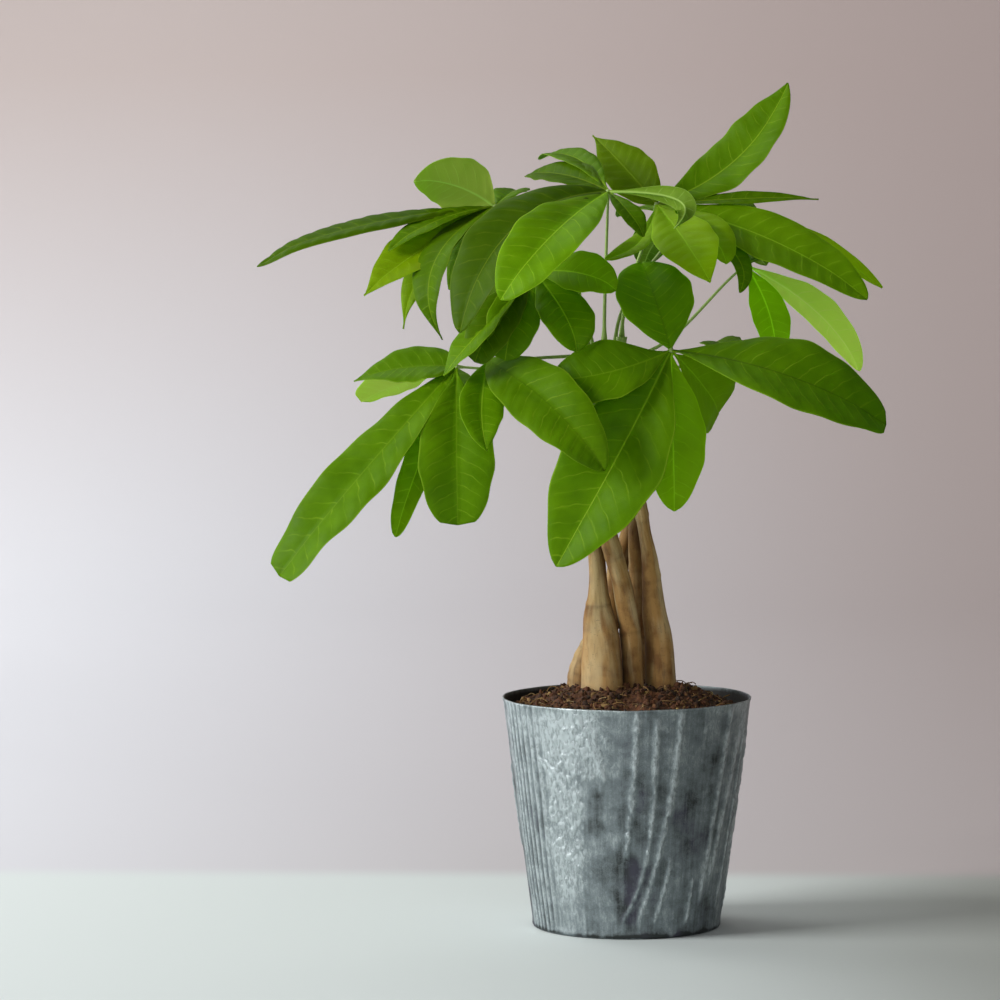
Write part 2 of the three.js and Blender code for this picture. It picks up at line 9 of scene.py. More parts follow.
import bpy
import numpy as np
from bpy.types import ID, Material, Mesh, Node, NodeSocket, NodeTree, Object
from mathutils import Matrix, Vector


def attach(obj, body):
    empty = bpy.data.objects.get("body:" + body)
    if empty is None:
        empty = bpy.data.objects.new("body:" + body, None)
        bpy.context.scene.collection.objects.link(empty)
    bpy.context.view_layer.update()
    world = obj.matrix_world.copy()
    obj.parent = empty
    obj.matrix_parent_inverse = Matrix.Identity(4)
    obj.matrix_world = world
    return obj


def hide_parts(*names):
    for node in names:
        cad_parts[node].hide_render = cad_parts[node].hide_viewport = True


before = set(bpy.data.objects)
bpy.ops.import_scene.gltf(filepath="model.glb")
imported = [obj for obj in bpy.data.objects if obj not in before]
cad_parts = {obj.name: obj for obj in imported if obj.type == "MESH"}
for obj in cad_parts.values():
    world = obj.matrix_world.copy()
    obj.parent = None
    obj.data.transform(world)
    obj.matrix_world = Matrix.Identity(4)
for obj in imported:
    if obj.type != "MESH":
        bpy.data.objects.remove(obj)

MM = 0.001
CM2_PER_M2 = 1e4
BODY = "root"
Triple = tuple[float, float, float]
log = logging.getLogger("money_tree")


class Slot(Enum):
    """The record's material slots."""

    ZINC = "zinc"
    SOIL = "soil"
    BARK = "bark"
    STEM = "green_stem"
    LEAF = "leaf"


class Skin(IntEnum):
    """Which finish a face of a leaf wears, as its place among the mesh's materials."""

    UPPER = 0
    UNDER = 1
    STALK = 2


# ---------------- numbers and noise


def linear(colour: str) -> tuple[float, float, float, float]:
    """Turns an sRGB hex colour into linear red, green, blue and alpha."""
    parts = [int(colour[i:i + 2], 16) / 255 for i in (1, 3, 5)]
    return (*[c / 12.92 if c <= 0.04045 else ((c + 0.055) / 1.055) ** 2.4 for c in parts], 1.0)


def smooth(value: np.ndarray, low: float, high: float) -> np.ndarray:
    """Rises from 0 at low to 1 at high, level at both ends."""
    share = np.clip((value - low) / (high - low), 0, 1)
    return share * share * (3 - 2 * share)


def lattice(corner: np.ndarray, seed: int) -> np.ndarray:
    """Gives repeatable values for whole-number corners.

    Args:
        corner: Whole numbers, with x, y and z on the last axis.
        seed: Chooses one of many patterns.

    Returns:
        A value from -1 to 1 for each corner.
    """
    mixed = corner @ np.array([374761393, 668265263, 1440662683]) + seed * 144269
    mixed = (mixed ^ (mixed >> 13)) * 1274126177
    mixed ^= mixed >> 16
    return (mixed & 0xFFFF) / 32767.5 - 1


def noise(points: np.ndarray, octaves: int = 1, seed: int = 0) -> np.ndarray:
    """Smooth noise in space, about -1 to 1.

    Args:
        points: An array whose last axis holds x, y and z, one unit to a lump.
        octaves: How many finer layers are added, each half as strong.
        seed: Picks another pattern.

    Returns:
        One value for each point.
    """
    total = np.zeros(points.shape[:-1])
    for octave in range(octaves):
        scaled = points * 2.0 ** octave
        base = np.floor(scaled).astype(np.int64)
        part = scaled - base
        part = part * part * (3 - 2 * part)
        for corner in itertools.product((0, 1), repeat=3):
            weight = np.prod(np.where(corner, part, 1 - part), axis=-1)
            total += weight * lattice(base + np.array(corner), seed + octave) / 2 ** octave
    return total


def unit(arrows: np.ndarray) -> np.ndarray:
    """Scales vectors on the last axis to length one."""
    return arrows / np.linalg.norm(arrows, axis=-1, keepdims=True)


def vectors(x: np.ndarray, y: np.ndarray, z: np.ndarray | float) -> np.ndarray:
    """Joins three parts, spread to one shape, into vectors on a new last axis."""
    return np.stack(np.broadcast_arrays(x, y, z), axis=-1)


def bezier(corners: list[np.ndarray], along: np.ndarray) -> np.ndarray:
    """Draws a Bezier curve with any number of corners.

    Args:
        corners: The two ends, and the corners that pull the curve between them.
        along: Shares of the way, from 0 to 1.

    Returns:
        One point for each share.
    """
    degree = len(corners) - 1
    weights = [math.comb(degree, i) * along ** i * (1 - along) ** (degree - i) for i in range(degree + 1)]
    return sum(weight[:, None] * corner for weight, corner in zip(weights, corners))


# ---------------- meshes and nodes


@dataclass
class Draft:
    """Collects the patches of one piece, and turns them into one mesh."""

    points: list[np.ndarray] = field(default_factory=list)
    faces: list[list[int]] = field(default_factory=list)
    finishes: list[int] = field(default_factory=list)
    plans: list[tuple[float, float]] = field(default_factory=list)
    traits: dict[str, list[np.ndarray]] = field(default_factory=dict)
    count: int = 0

    def add(
        self, points: np.ndarray, faces: list[list[int]], finish: int | list[int] = 0,
        plans: list[tuple[float, float]] | None = None, traits: dict[str, np.ndarray] | None = None,
    ) -> None:
        """Adds a patch.

        Args:
            points: Its points in millimetres, one a row.
            faces: Its faces, as places in points.
            finish: The place of its finish among the piece's, for all faces or each of them.
            plans: The UV of each face's corners in turn.
            traits: Vectors to keep for each point, by name.
        """
        self.points.append(points)
        self.faces += [[corner + self.count for corner in face] for face in faces]
        self.finishes += [finish] * len(faces) if isinstance(finish, int) else finish
        corners = sum(len(face) for face in faces)
        self.plans += plans if plans is not None else [(0.5, 0.0)] * corners
        for name, values in (traits or {}).items():
            filled = self.traits.setdefault(name, [])
            missing = self.count - sum(len(part) for part in filled)
            filled += [np.zeros((missing, 3)), values]
        self.count += len(points)

    def piece(self, name: str, finishes: list[Material]) -> Object:
        """Makes the mesh and its object, with smooth faces.

        Args:
            name: The piece's name.
            finishes: Its materials in the order that the faces name them.

        Returns:
            The new object, at the origin.
        """
        mesh = bpy.data.meshes.new(name)
        mesh.from_pydata(np.concatenate(self.points) * MM, [], self.faces)
        for finish in finishes:
            mesh.materials.append(finish)
        mesh.polygons.foreach_set("material_index", self.finishes)
        layer = mesh.uv_layers.new(name="plan")
        layer.data.foreach_set("uv", np.array(self.plans, np.float32).ravel())
        for trait, parts in self.traits.items():
            missing = self.count - sum(len(part) for part in parts)
            values = np.vstack([*parts, np.zeros((missing, 3))])
            attribute = mesh.attributes.new(trait, "FLOAT_VECTOR", "POINT")
            attribute.data.foreach_set("vector", values.astype(np.float32).ravel())
        mesh.shade_smooth()
        mesh.update()
        return placed(name, mesh)


def placed(name: str, data: ID) -> Object:
    """Makes an object and links it to the scene.

    Args:
        name: The object's name.
        data: A mesh, a lamp or a camera.

    Returns:
        The object, at the origin.
    """
    made = bpy.data.objects.new(name, data)
    bpy.context.scene.collection.objects.link(made)
    return made


def settle(piece: Object, slot: Slot, *nodes: str) -> None:
    """Rides a piece on the plant's body and reports it.

    Args:
        piece: The finished piece.
        slot: The slot that it is finished from. It is not used.
        *nodes: The CAD nodes that it replaces, if any.
    """
    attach(piece, BODY)
    if nodes:
        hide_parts(*nodes)
    log.info("%s: %d faces", piece.name, len(piece.data.polygons))


def grid_faces(rows: int, columns: int, closed: bool) -> list[list[int]]:
    """Quads over a grid of points, row by row.

    Args:
        rows: How many rows of points there are.
        columns: How many points a row has.
        closed: Whether the last column joins the first.

    Returns:
        The faces, which point to the side where the columns run anticlockwise below the rows.
    """
    faces = []
    for low in range(0, (rows - 1) * columns, columns):
        for column in range(columns if closed else columns - 1):
            beside = (column + 1) % columns
            faces.append([low + column, low + beside, low + columns + beside, low + columns + column])
    return faces


def tube_faces(rows: int, columns: int) -> list[list[int]]:
    """Lists the faces of a closed tube, whose two end points come after its rows.

    Args:
        rows: Rings of points along the tube.
        columns: Points round each ring.

    Returns:
        Point numbers for each face.
    """
    faces = grid_faces(rows, columns, True)
    last, count = (rows - 1) * columns, rows * columns
    for i in range(columns):
        beside = (i + 1) % columns
        faces += [[count, beside, i], [count + 1, last + i, last + beside]]
    return faces


def add(
    tree: NodeTree, kind: str, settings: dict | None = None, inputs: dict | list | None = None
) -> Node:
    """Adds a node with its settings and links.

    Each input is a value, an sRGB hex colour, another node's output, or another node, which
    then stands for its first output in use.

    Args:
        tree: The tree that it goes in.
        kind: Blender's name for the node, of which a leading ShaderNode may be left out.
        settings: Its properties.
        inputs: Its inputs by the sockets' names, or as a list for the sockets in use in turn.

    Returns:
        The new node.
    """
    node = tree.nodes.new(kind if "Node" in kind else "ShaderNode" + kind)
    for name, value in (settings or {}).items():
        setattr(node, name, value)
    if isinstance(inputs, dict):
        given = [(node.inputs[name], value) for name, value in inputs.items()]
    else:
        given = zip([socket for socket in node.inputs if socket.enabled], inputs or [])
    for socket, value in given:
        if isinstance(value, Node):
            value = next(output for output in value.outputs if output.enabled)
        if isinstance(value, NodeSocket):
            tree.links.new(value, socket)
        else:
            socket.default_value = linear(value) if str(value).startswith("#") else value
    return node


def blank_material(name: str) -> tuple[Material, NodeTree]:
    """Makes a material with an empty node tree.

    Args:
        name: The material's name.

    Returns:
        The material and its tree.
    """
    made = bpy.data.materials.new(name)
    made.use_nodes = True
    made.node_tree.nodes.clear()
    return made, made.node_tree


def trait_parts(tree: NodeTree, trait: str) -> list[NodeSocket]:
    """Reads the three numbers that each point of a mesh keeps under a trait's name."""
    kept = add(tree, "Attribute", {"attribute_name": trait}).outputs["Vector"]
    return list(add(tree, "SeparateXYZ", inputs=[kept]).outputs)


def dress(tree: NodeTree, relief: dict, skin: dict) -> None:
    """Ends a material with a skin over a relief.

    Args:
        tree: The material's tree.
        relief: The Bump node's inputs by name.
        skin: The Principled node's inputs by name, without its normal.
    """
    bump = add(tree, "Bump", inputs=relief)
    surface = add(tree, "BsdfPrincipled", inputs={**skin, "Normal": bump})
    add(tree, "OutputMaterial", inputs=[surface])


def blank_geometry(name: str, inputs: dict[str, str]) -> tuple[NodeTree, Node]:
    """Makes a geometry tree with named inputs.

    Args:
        name: The tree's name.
        inputs: Each input's name and kind of socket, besides the geometry and the finish.

    Returns:
        The tree and its input node.
    """
    tree = bpy.data.node_groups.new(name, "GeometryNodeTree")
    tree.interface.new_socket("Geometry", in_out="OUTPUT", socket_type="NodeSocketGeometry")
    for label, kind in {"Geometry": "Geometry", **inputs, "Finish": "Material"}.items():
        tree.interface.new_socket(label, in_out="INPUT", socket_type="NodeSocket" + kind)
    return tree, add(tree, "NodeGroupInput")


def close_geometry(tree: NodeTree, given: Node, solid: Node) -> None:
    """Gives a tree's solid its finish, and sends it out."""
    dressed = add(tree, "GeometryNodeSetMaterial", inputs={
        "Geometry": solid, "Material": given.outputs["Finish"],
    })
    add(tree, "NodeGroupOutput", inputs=[dressed])


def grown(name: str, base: Mesh, tree: NodeTree, values: dict) -> Mesh:
    """Runs a geometry tree on a mesh and gives the plain mesh that comes out.

    Args:
        name: The new mesh's name.
        base: The mesh that the tree starts from. It is removed.
        tree: The geometry tree.
        values: The values of the tree's inputs, by name.

    Returns:
        A mesh with no modifier behind it.
    """
    carrier = placed(name, base)
    modifier = carrier.modifiers.new(name, "NODES")
    modifier.node_group = tree
    for item in tree.interface.items_tree:
        if item.in_out == "INPUT" and item.name in values:
            modifier[item.identifier] = values[item.name]
    depsgraph = bpy.context.evaluated_depsgraph_get()
    result = bpy.data.meshes.new_from_object(carrier.evaluated_get(depsgraph))
    result.name = name
    carrier.modifiers.remove(modifier)
    bpy.data.objects.remove(carrier)
    bpy.data.meshes.remove(base)
    return result


# ---------------- finishes


# Settings of the nodes that the finishes are made of.
COLOURS = {"data_type": "RGBA"}
EASED = {"interpolation_type": "SMOOTHSTEP"}
TIMES = {"operation": "MULTIPLY"}
TIMES_PLUS = {"operation": "MULTIPLY_ADD"}
SCALED = {"operation": "SCALE"}


@dataclass(frozen=True)
class LeafFinish:
    """One side of a living leaflet, a waxy skin over green tissue that light shines through.

    The plan holds the side veins' count along x, a vein at each whole number, and the distance
    from the rib in millimetres along y. The trait "blade" holds the share of the length, the
    share of the half width, and how light the leaflet is, partly for its own colour and partly as
    painted light and shade; "growth" holds how young it is and how pale its rib is, below zero
    for painted shade in the hollow of the rib. cloud, cell and drift are the sizes of the patches
    of tissue, of its cells and of the bends in the veins.
    """

    name: str
    deep: str
    fresh: str
    young: str
    vein: str
    glow: str
    roughness: float
    gloss: float
    rib_width: float
    rib_strength: float
    vein_width: float
    vein_strength: float
    vein_height: float
    through: float
    cloud: float = 11.111
    cell: float = 1.1111
    drift: float = 7.6923

    def material(self) -> Material:
        """Builds the shader.

        Returns:
            The material, under this finish's name.
        """
        made, tree = blank_material(self.name)
        plan = add(tree, "UVMap", {"uv_map": "plan"})
        count, from_rib, _ = add(tree, "SeparateXYZ", inputs=[plan]).outputs
        along, aside, tone_and_painted_light = trait_parts(tree, "blade")
        youth, paleness, _ = trait_parts(tree, "growth")
        place = add(tree, "TexCoord").outputs["Object"]

        # Side veins: pale hairs at the whole numbers of the plan's x, which wander a little, are
        # stronger here and fainter there, and are gone near the margin.
        drift = add(tree, "TexNoise", inputs={
            "Vector": place, "Scale": 1 / (self.drift * MM), "Detail": 1.0,
        })
        wander = add(tree, "Math", TIMES_PLUS, [drift, 0.5, count])
        near_vein = add(tree, "Math", {"operation": "PINGPONG"}, [wander, 0.5])
        veins = add(tree, "MapRange", EASED, [near_vein, self.vein_width, 0.0])
        inner = add(tree, "MapRange", EASED, [aside, 1.0, 0.55])
        uneven = add(tree, "MapRange", inputs=[drift, 0.35, 0.65, 0.2])
        for factor in (inner, uneven, self.vein_strength):
            veins = add(tree, "Math", TIMES, [veins, factor])

        # The rib: a line that thins towards the tip.
        distance = add(tree, "Math", {"operation": "ABSOLUTE"}, [from_rib])
        reach = add(tree, "MapRange", inputs=[along, 0.0, 1.0, self.rib_width, self.rib_width * 0.35])
        rib_share = add(tree, "Math", {"operation": "DIVIDE"}, [distance, reach])
        rib_line = add(tree, "MapRange", EASED, [rib_share, 1.0, 0.2, 0.0, self.rib_strength])
        rib = add(tree, "Math", TIMES, [rib_line, paleness])
        # Painted shade: a rib below zero darkens the leaflet along its hollow middle.
        groove_shade = add(tree, "Math", {**TIMES_PLUS, "use_clamp": True}, [rib, -1.0, 0.0])
        lines = add(tree, "Math", {"operation": "MAXIMUM"}, [veins, rib])

        # Tissue: broad cloudy patches, over a net of cells a millimetre wide.
        clouds = add(tree, "TexNoise", inputs={
            "Vector": place, "Scale": 1 / (self.cloud * MM), "Detail": 4.0,
        })
        cells = add(tree, "TexVoronoi", {"feature": "DISTANCE_TO_EDGE"}, {
            "Vector": place, "Scale": 1 / (self.cell * MM),
        })
        cloud_share = add(tree, "MapRange", inputs=[clouds, 0.3, 0.7, 0.25, 0.85])
        margin = add(tree, "MapRange", EASED, [aside, 0.95, 1.0, 0.0, 0.5])
        colour = self.deep
        for share, coat in (
            (cloud_share, self.fresh), (youth, self.young), (margin, self.vein), (lines, self.vein),
        ):
            colour = add(tree, "Mix", COLOURS, [share, colour, coat])
        # Painted light and shade, with each leaflet's own colour: the blade's third value lightens or
        # darkens the whole leaflet.
        toned = add(tree, "Math", TIMES_PLUS, [tone_and_painted_light, 0.5, 1.0])
        lightness = add(tree, "Math", {"operation": "SUBTRACT"}, [toned, groove_shade])
        colour = add(tree, "VectorMath", SCALED, [colour, lightness])

        # Relief: the veins lie in or stand out of the skin, over faint cells.
        vein_relief = add(tree, "Math", TIMES, [lines, self.vein_height])
        relief = add(tree, "Math", TIMES_PLUS, [cells, 0.12, vein_relief])
        bump = add(tree, "Bump", inputs={"Strength": 0.6, "Distance": 0.5 * MM, "Height": relief})
        spread = (self.roughness - 0.08, self.roughness + 0.1)
        shine = add(tree, "MapRange", inputs=[clouds, 0.0, 1.0, *spread])
        skin = add(tree, "BsdfPrincipled", inputs={
            "Base Color": colour, "Roughness": shine, "IOR": 1.45, "Specular IOR Level": self.gloss,
            "Normal": bump,
        })
        lit = add(tree, "Mix", {**COLOURS, "blend_type": "MULTIPLY"}, [1.0, colour, self.glow])
        brighter = add(tree, "VectorMath", SCALED, [lit, 3.0])
        inside = add(tree, "BsdfTranslucent", inputs={"Color": brighter, "Normal": bump})
        whole = add(tree, "MixShader", inputs=[self.through, skin, inside])
        add(tree, "OutputMaterial", inputs=[whole])
        return made


@dataclass(frozen=True)
class StalkFinish:
    """Soft green stem: smooth living skin, pale where it is young, with faint long streaks."""

    name: str
    pale: str
    green: str
    streak: float = 1.2

    def material(self) -> Material:
        """Builds the shader.

        Returns:
            The material, under this finish's name.
        """
        made, tree = blank_material(self.name)
        place = add(tree, "TexCoord").outputs["Object"]
        drawn = add(tree, "Mapping", inputs={"Vector": place, "Scale": (1.0, 1.0, 0.15)})
        streaks = add(tree, "TexNoise", inputs={
            "Vector": drawn, "Scale": 1 / (self.streak * MM), "Detail": 2.0,
        })
        colour = add(tree, "Mix", COLOURS, [streaks, self.green, self.pale])
        shine = add(tree, "MapRange", inputs=[streaks, 0.0, 1.0, 0.38, 0.55])
        dress(tree, {"Strength": 0.4, "Distance": 0.2 * MM, "Height": streaks}, {
            "Base Color": colour, "Roughness": shine, "IOR": 1.45, "Subsurface Weight": 0.15,
            "Subsurface Radius": (1.0, 1.0, 0.4), "Subsurface Scale": MM,
        })
        return made


@dataclass(frozen=True)
class BarkFinish:
    """Young money tree bark: a thin tan cork that splits in fine upright cracks.

    The trait "wrap" holds a place on the trunk as if it were straight, in millimetres, and
    "wear_and_shade" holds the depth of the relief, how dark the spot is from its rings, near
    the soil and from painted shade between the stems, and how green.
    """

    name: str = "young_bark"
    tan: str = "#8A6030"
    golden: str = "#B08448"
    cream: str = "#DEC592"
    brown: str = "#38230F"
    green: str = "#74743C"
    crack_width: float = 1.4
    crack_length: float = 14.0
    blotch: float = 11.111
    speck: float = 0.9091
    band_width: float = 6.25
    band_length: float = 33.333

    def material(self) -> Material:
        """Builds the shader.

        Returns:
            The material, under this finish's name.
        """
        made, tree = blank_material(self.name)
        wrap = add(tree, "Attribute", {"attribute_name": "wrap"}).outputs["Vector"]
        _, darkness_and_shade, greenness = trait_parts(tree, "wear_and_shade")
        drawn, banded = [
            add(tree, "Mapping", inputs={"Vector": wrap, "Scale": (1 / width, 1 / width, 1 / length)})
            for width, length in (
                (self.crack_width, self.crack_length), (self.band_width, self.band_length),
            )
        ]
        fibres, bands, blotches, specks = [
            add(tree, "TexNoise", inputs={
                "Vector": grain, "Scale": 1 / size, "Detail": detail, "Roughness": rough,
            })
            for grain, size, detail, rough in (
                (drawn, 1.0, 5.0, 0.65), (banded, 1.0, 4.0, 0.5), (wrap, self.blotch, 4.0, 0.5),
                (wrap, self.speck, 3.0, 0.5),
            )
        ]
        colour = self.tan
        for share, coat in (
            (add(tree, "MapRange", inputs=[blotches, 0.4, 0.55]), self.golden),
            (add(tree, "MapRange", EASED, [bands, 0.42, 0.7, 0.0, 0.7]), self.cream),
            (add(tree, "MapRange", EASED, [fibres, 0.44, 0.3, 0.0, 0.4]), self.brown),
            (add(tree, "MapRange", EASED, [specks, 0.62, 0.72, 0.0, 0.35]), self.brown),
            # Rings, the foot and painted shade between the stems darken it to brown.
            (darkness_and_shade, self.brown), (greenness, self.green),
        ):
            colour = add(tree, "Mix", COLOURS, [share, colour, coat])
        shine = add(tree, "MapRange", inputs=[fibres, 0.0, 1.0, 0.62, 0.85])
        dress(tree, {"Strength": 0.8, "Distance": 0.5 * MM, "Height": fibres}, {
            "Base Color": colour, "Roughness": shine,
        })
        return made


@dataclass(frozen=True)
class SoilFinish:
    """Potting mix: moist peat and bark fines, matt, from near black to rusty brown and straw.

    The trait "tint" holds how far a loose bit keeps a colour of its own, and which.
    """

    name: str
    dark: str
    rusty: str
    straw: str
    patch: float = 6.0
    grain: float = 0.9

    def material(self) -> Material:
        """Builds the shader.

        Returns:
            The material, under this finish's name.
        """
        made, tree = blank_material(self.name)
        place = add(tree, "TexCoord").outputs["Object"]
        patches = add(tree, "TexNoise", inputs={
            "Vector": place, "Scale": 1 / (self.patch * MM), "Detail": 6.0, "Roughness": 0.7,
        })
        grains = add(tree, "TexNoise", inputs={
            "Vector": place, "Scale": 1 / (self.grain * MM), "Detail": 2.0,
        })
        own, hue, _ = trait_parts(tree, "tint")
        rust, mottle, bleach = [
            add(tree, "MapRange", inputs=span)
            for span in ([hue, 0.15, 0.8], [patches, 0.38, 0.62], [hue, 0.86, 1.0])
        ]
        common, earthy = [
            add(tree, "Mix", COLOURS, [share, self.dark, self.rusty]) for share in (mottle, rust)
        ]
        varied = add(tree, "Mix", COLOURS, [bleach, earthy, self.straw])
        colour = add(tree, "Mix", COLOURS, [own, common, varied])
        shine = add(tree, "MapRange", inputs=[grains, 0.0, 1.0, 0.75, 0.98])
        dress(tree, {"Strength": 0.8, "Distance": 0.6 * MM, "Height": grains}, {
            "Base Color": colour, "Roughness": shine,
        })
        return made


@dataclass(frozen=True)
class ZincFinish:
    """Antiqued zinc coat on pressed steel sheet: a rubbed satin metal with a mottled dull patina.

    The trait "wrap" holds a place on the wall as if it were upright, in millimetres, and
    "wear_and_shade" holds how high the pressed grain stands, how light the spot is from rubbing
    and patina and towards the top, and how far inside, where the inner wall is painted dark as shade.
    """

    name: str = "antiqued_zinc"
    bright: str = "#C6D0D2"
    mid: str = "#848E91"
    dark: str = "#404443"
    plum: str = "#5B5A68"
    # Painted shade: the dark colour laid over the inner wall.
    inner: str = "#2B2926"
    patina: float = 14.0
    stain: float = 24.0
    spangle: float = 5.0
    streak_width: float = 1.6
    streak_length: float = 30.0
    speck: float = 0.55
    crease_width: float = 1.3
    crease_length: float = 3.6

    def material(self) -> Material:
        """Builds the shader.

        Returns:
            The material, under this finish's name.
        """
        made, tree = blank_material(self.name)
        wrap = add(tree, "Attribute", {"attribute_name": "wrap"}).outputs["Vector"]
        grain, rubbed, inside = trait_parts(tree, "wear_and_shade")
        drawn, slanted = [
            add(tree, "Mapping", inputs={
                "Vector": wrap, "Rotation": (0, slant, 0), "Scale": (1 / width, 1 / width, 1 / length),
            })
            for slant, width, length in (
                (0, self.streak_width, self.streak_length), (0.65, self.crease_width, self.crease_length),
            )
        ]
        streaks, creases, patina, specks, stain = [
            add(tree, "TexNoise", inputs={
                "Vector": pattern, "Scale": 1 / size, "Detail": detail, "Roughness": rough,
                "Distortion": bend,
            })
            for pattern, size, detail, rough, bend in (
                (drawn, 1.0, 4.0, 0.6, 0.0), (slanted, 1.0, 4.0, 0.7, 0.6),
                (wrap, self.patina, 6.0, 0.65, 0.0), (wrap, self.speck, 2.0, 0.5, 0.0),
                (wrap, self.stain, 2.0, 0.5, 0.0),
            )
        ]
        spangles = add(tree, "TexVoronoi", inputs={"Vector": wrap, "Scale": 1 / self.spangle})
        spangle = add(tree, "SeparateXYZ", inputs=[spangles.outputs["Color"]])

        # How light the metal is: patina, streaks, spangles and the rubbed tops of the grain, lighter
        # towards the top of the wall.
        sums = [patina]
        for layer, weight in (
            (streaks, 0.35), (spangle, 0.1), (specks, 0.25), (grain, 0.2), (rubbed, 0.5),
        ):
            sums.append(add(tree, "Math", TIMES_PLUS, [layer, weight, sums[-1]]))
        skin_relief, light = sums[3], sums[5]

        # Fine creases run aslant through the rubbed parts, as in crumpled foil.
        crest = add(tree, "MapRange", EASED, [creases, 0.38, 0.6, 0.35, 1.3])
        high = add(tree, "MapRange", inputs=[light, 0.98, 1.38])
        foil = add(tree, "Math", {**TIMES, "use_clamp": True}, [high, crest])
        colour = self.dark
        for share, coat in (
            (add(tree, "MapRange", EASED, [stain, 0.5, 0.65, 0.0, 0.8]), self.plum),
            (add(tree, "MapRange", inputs=[light, 0.66, 0.98]), self.mid),
            # The inner wall is painted dark as shade.
            (foil, self.bright), (inside, self.inner),
        ):
            colour = add(tree, "Mix", COLOURS, [share, colour, coat])
        shine = add(tree, "MapRange", inputs=[light, 0.66, 1.4, 0.62, 0.4])
        relief = add(tree, "Math", TIMES_PLUS, [foil, 0.9, skin_relief])
        dress(tree, {"Strength": 0.6, "Distance": 0.3 * MM, "Height": relief}, {
            "Base Color": colour, "Metallic": 0.75, "Roughness": shine,
        })
        return made


# ---------------- the pot


@dataclass(frozen=True)
class Seam:
    """A raised line of the pressed grain. Both ends hold a place round the wall and a height.

    power bends it: 1 leaves it straight, and more keeps it upright until near its lower end.
    """

    top: tuple[float, float]
    bottom: tuple[float, float]
    power: float = 1.0
    width: float = 1.0

    def ridge(self, around: np.ndarray, up: np.ndarray) -> np.ndarray:
        """Finds how far the line stands out of the wall.

        Args:
            around: Places round the wall, in mm from its front.
            up: Heights in mm.

        Returns:
            A height from 0 to 1 for each place.
        """
        share = (self.top[1] - up) / (self.top[1] - self.bottom[1])
        line = self.top[0] + (self.bottom[0] - self.top[0]) * np.clip(share, 0, 1) ** self.power
        inside = smooth(share, -0.08, 0.05) * (1 - smooth(share, 0.95, 1.08))
        return inside * np.exp(-(((around - line) / self.width) ** 2))


@dataclass(frozen=True)
class Window:
    """An upright oval on the wall: its middle and its half sizes round and up."""

    around: float
    up: float
    half_around: float
    half_up: float

    def mask(self, around: np.ndarray, up: np.ndarray) -> np.ndarray:
        """Is 1 inside, and fades to 0 past the edge."""
        away = ((around - self.around) / self.half_around) ** 2 + ((up - self.up) / self.half_up) ** 2
        return 1 - smooth(away, 0.45, 1.35)


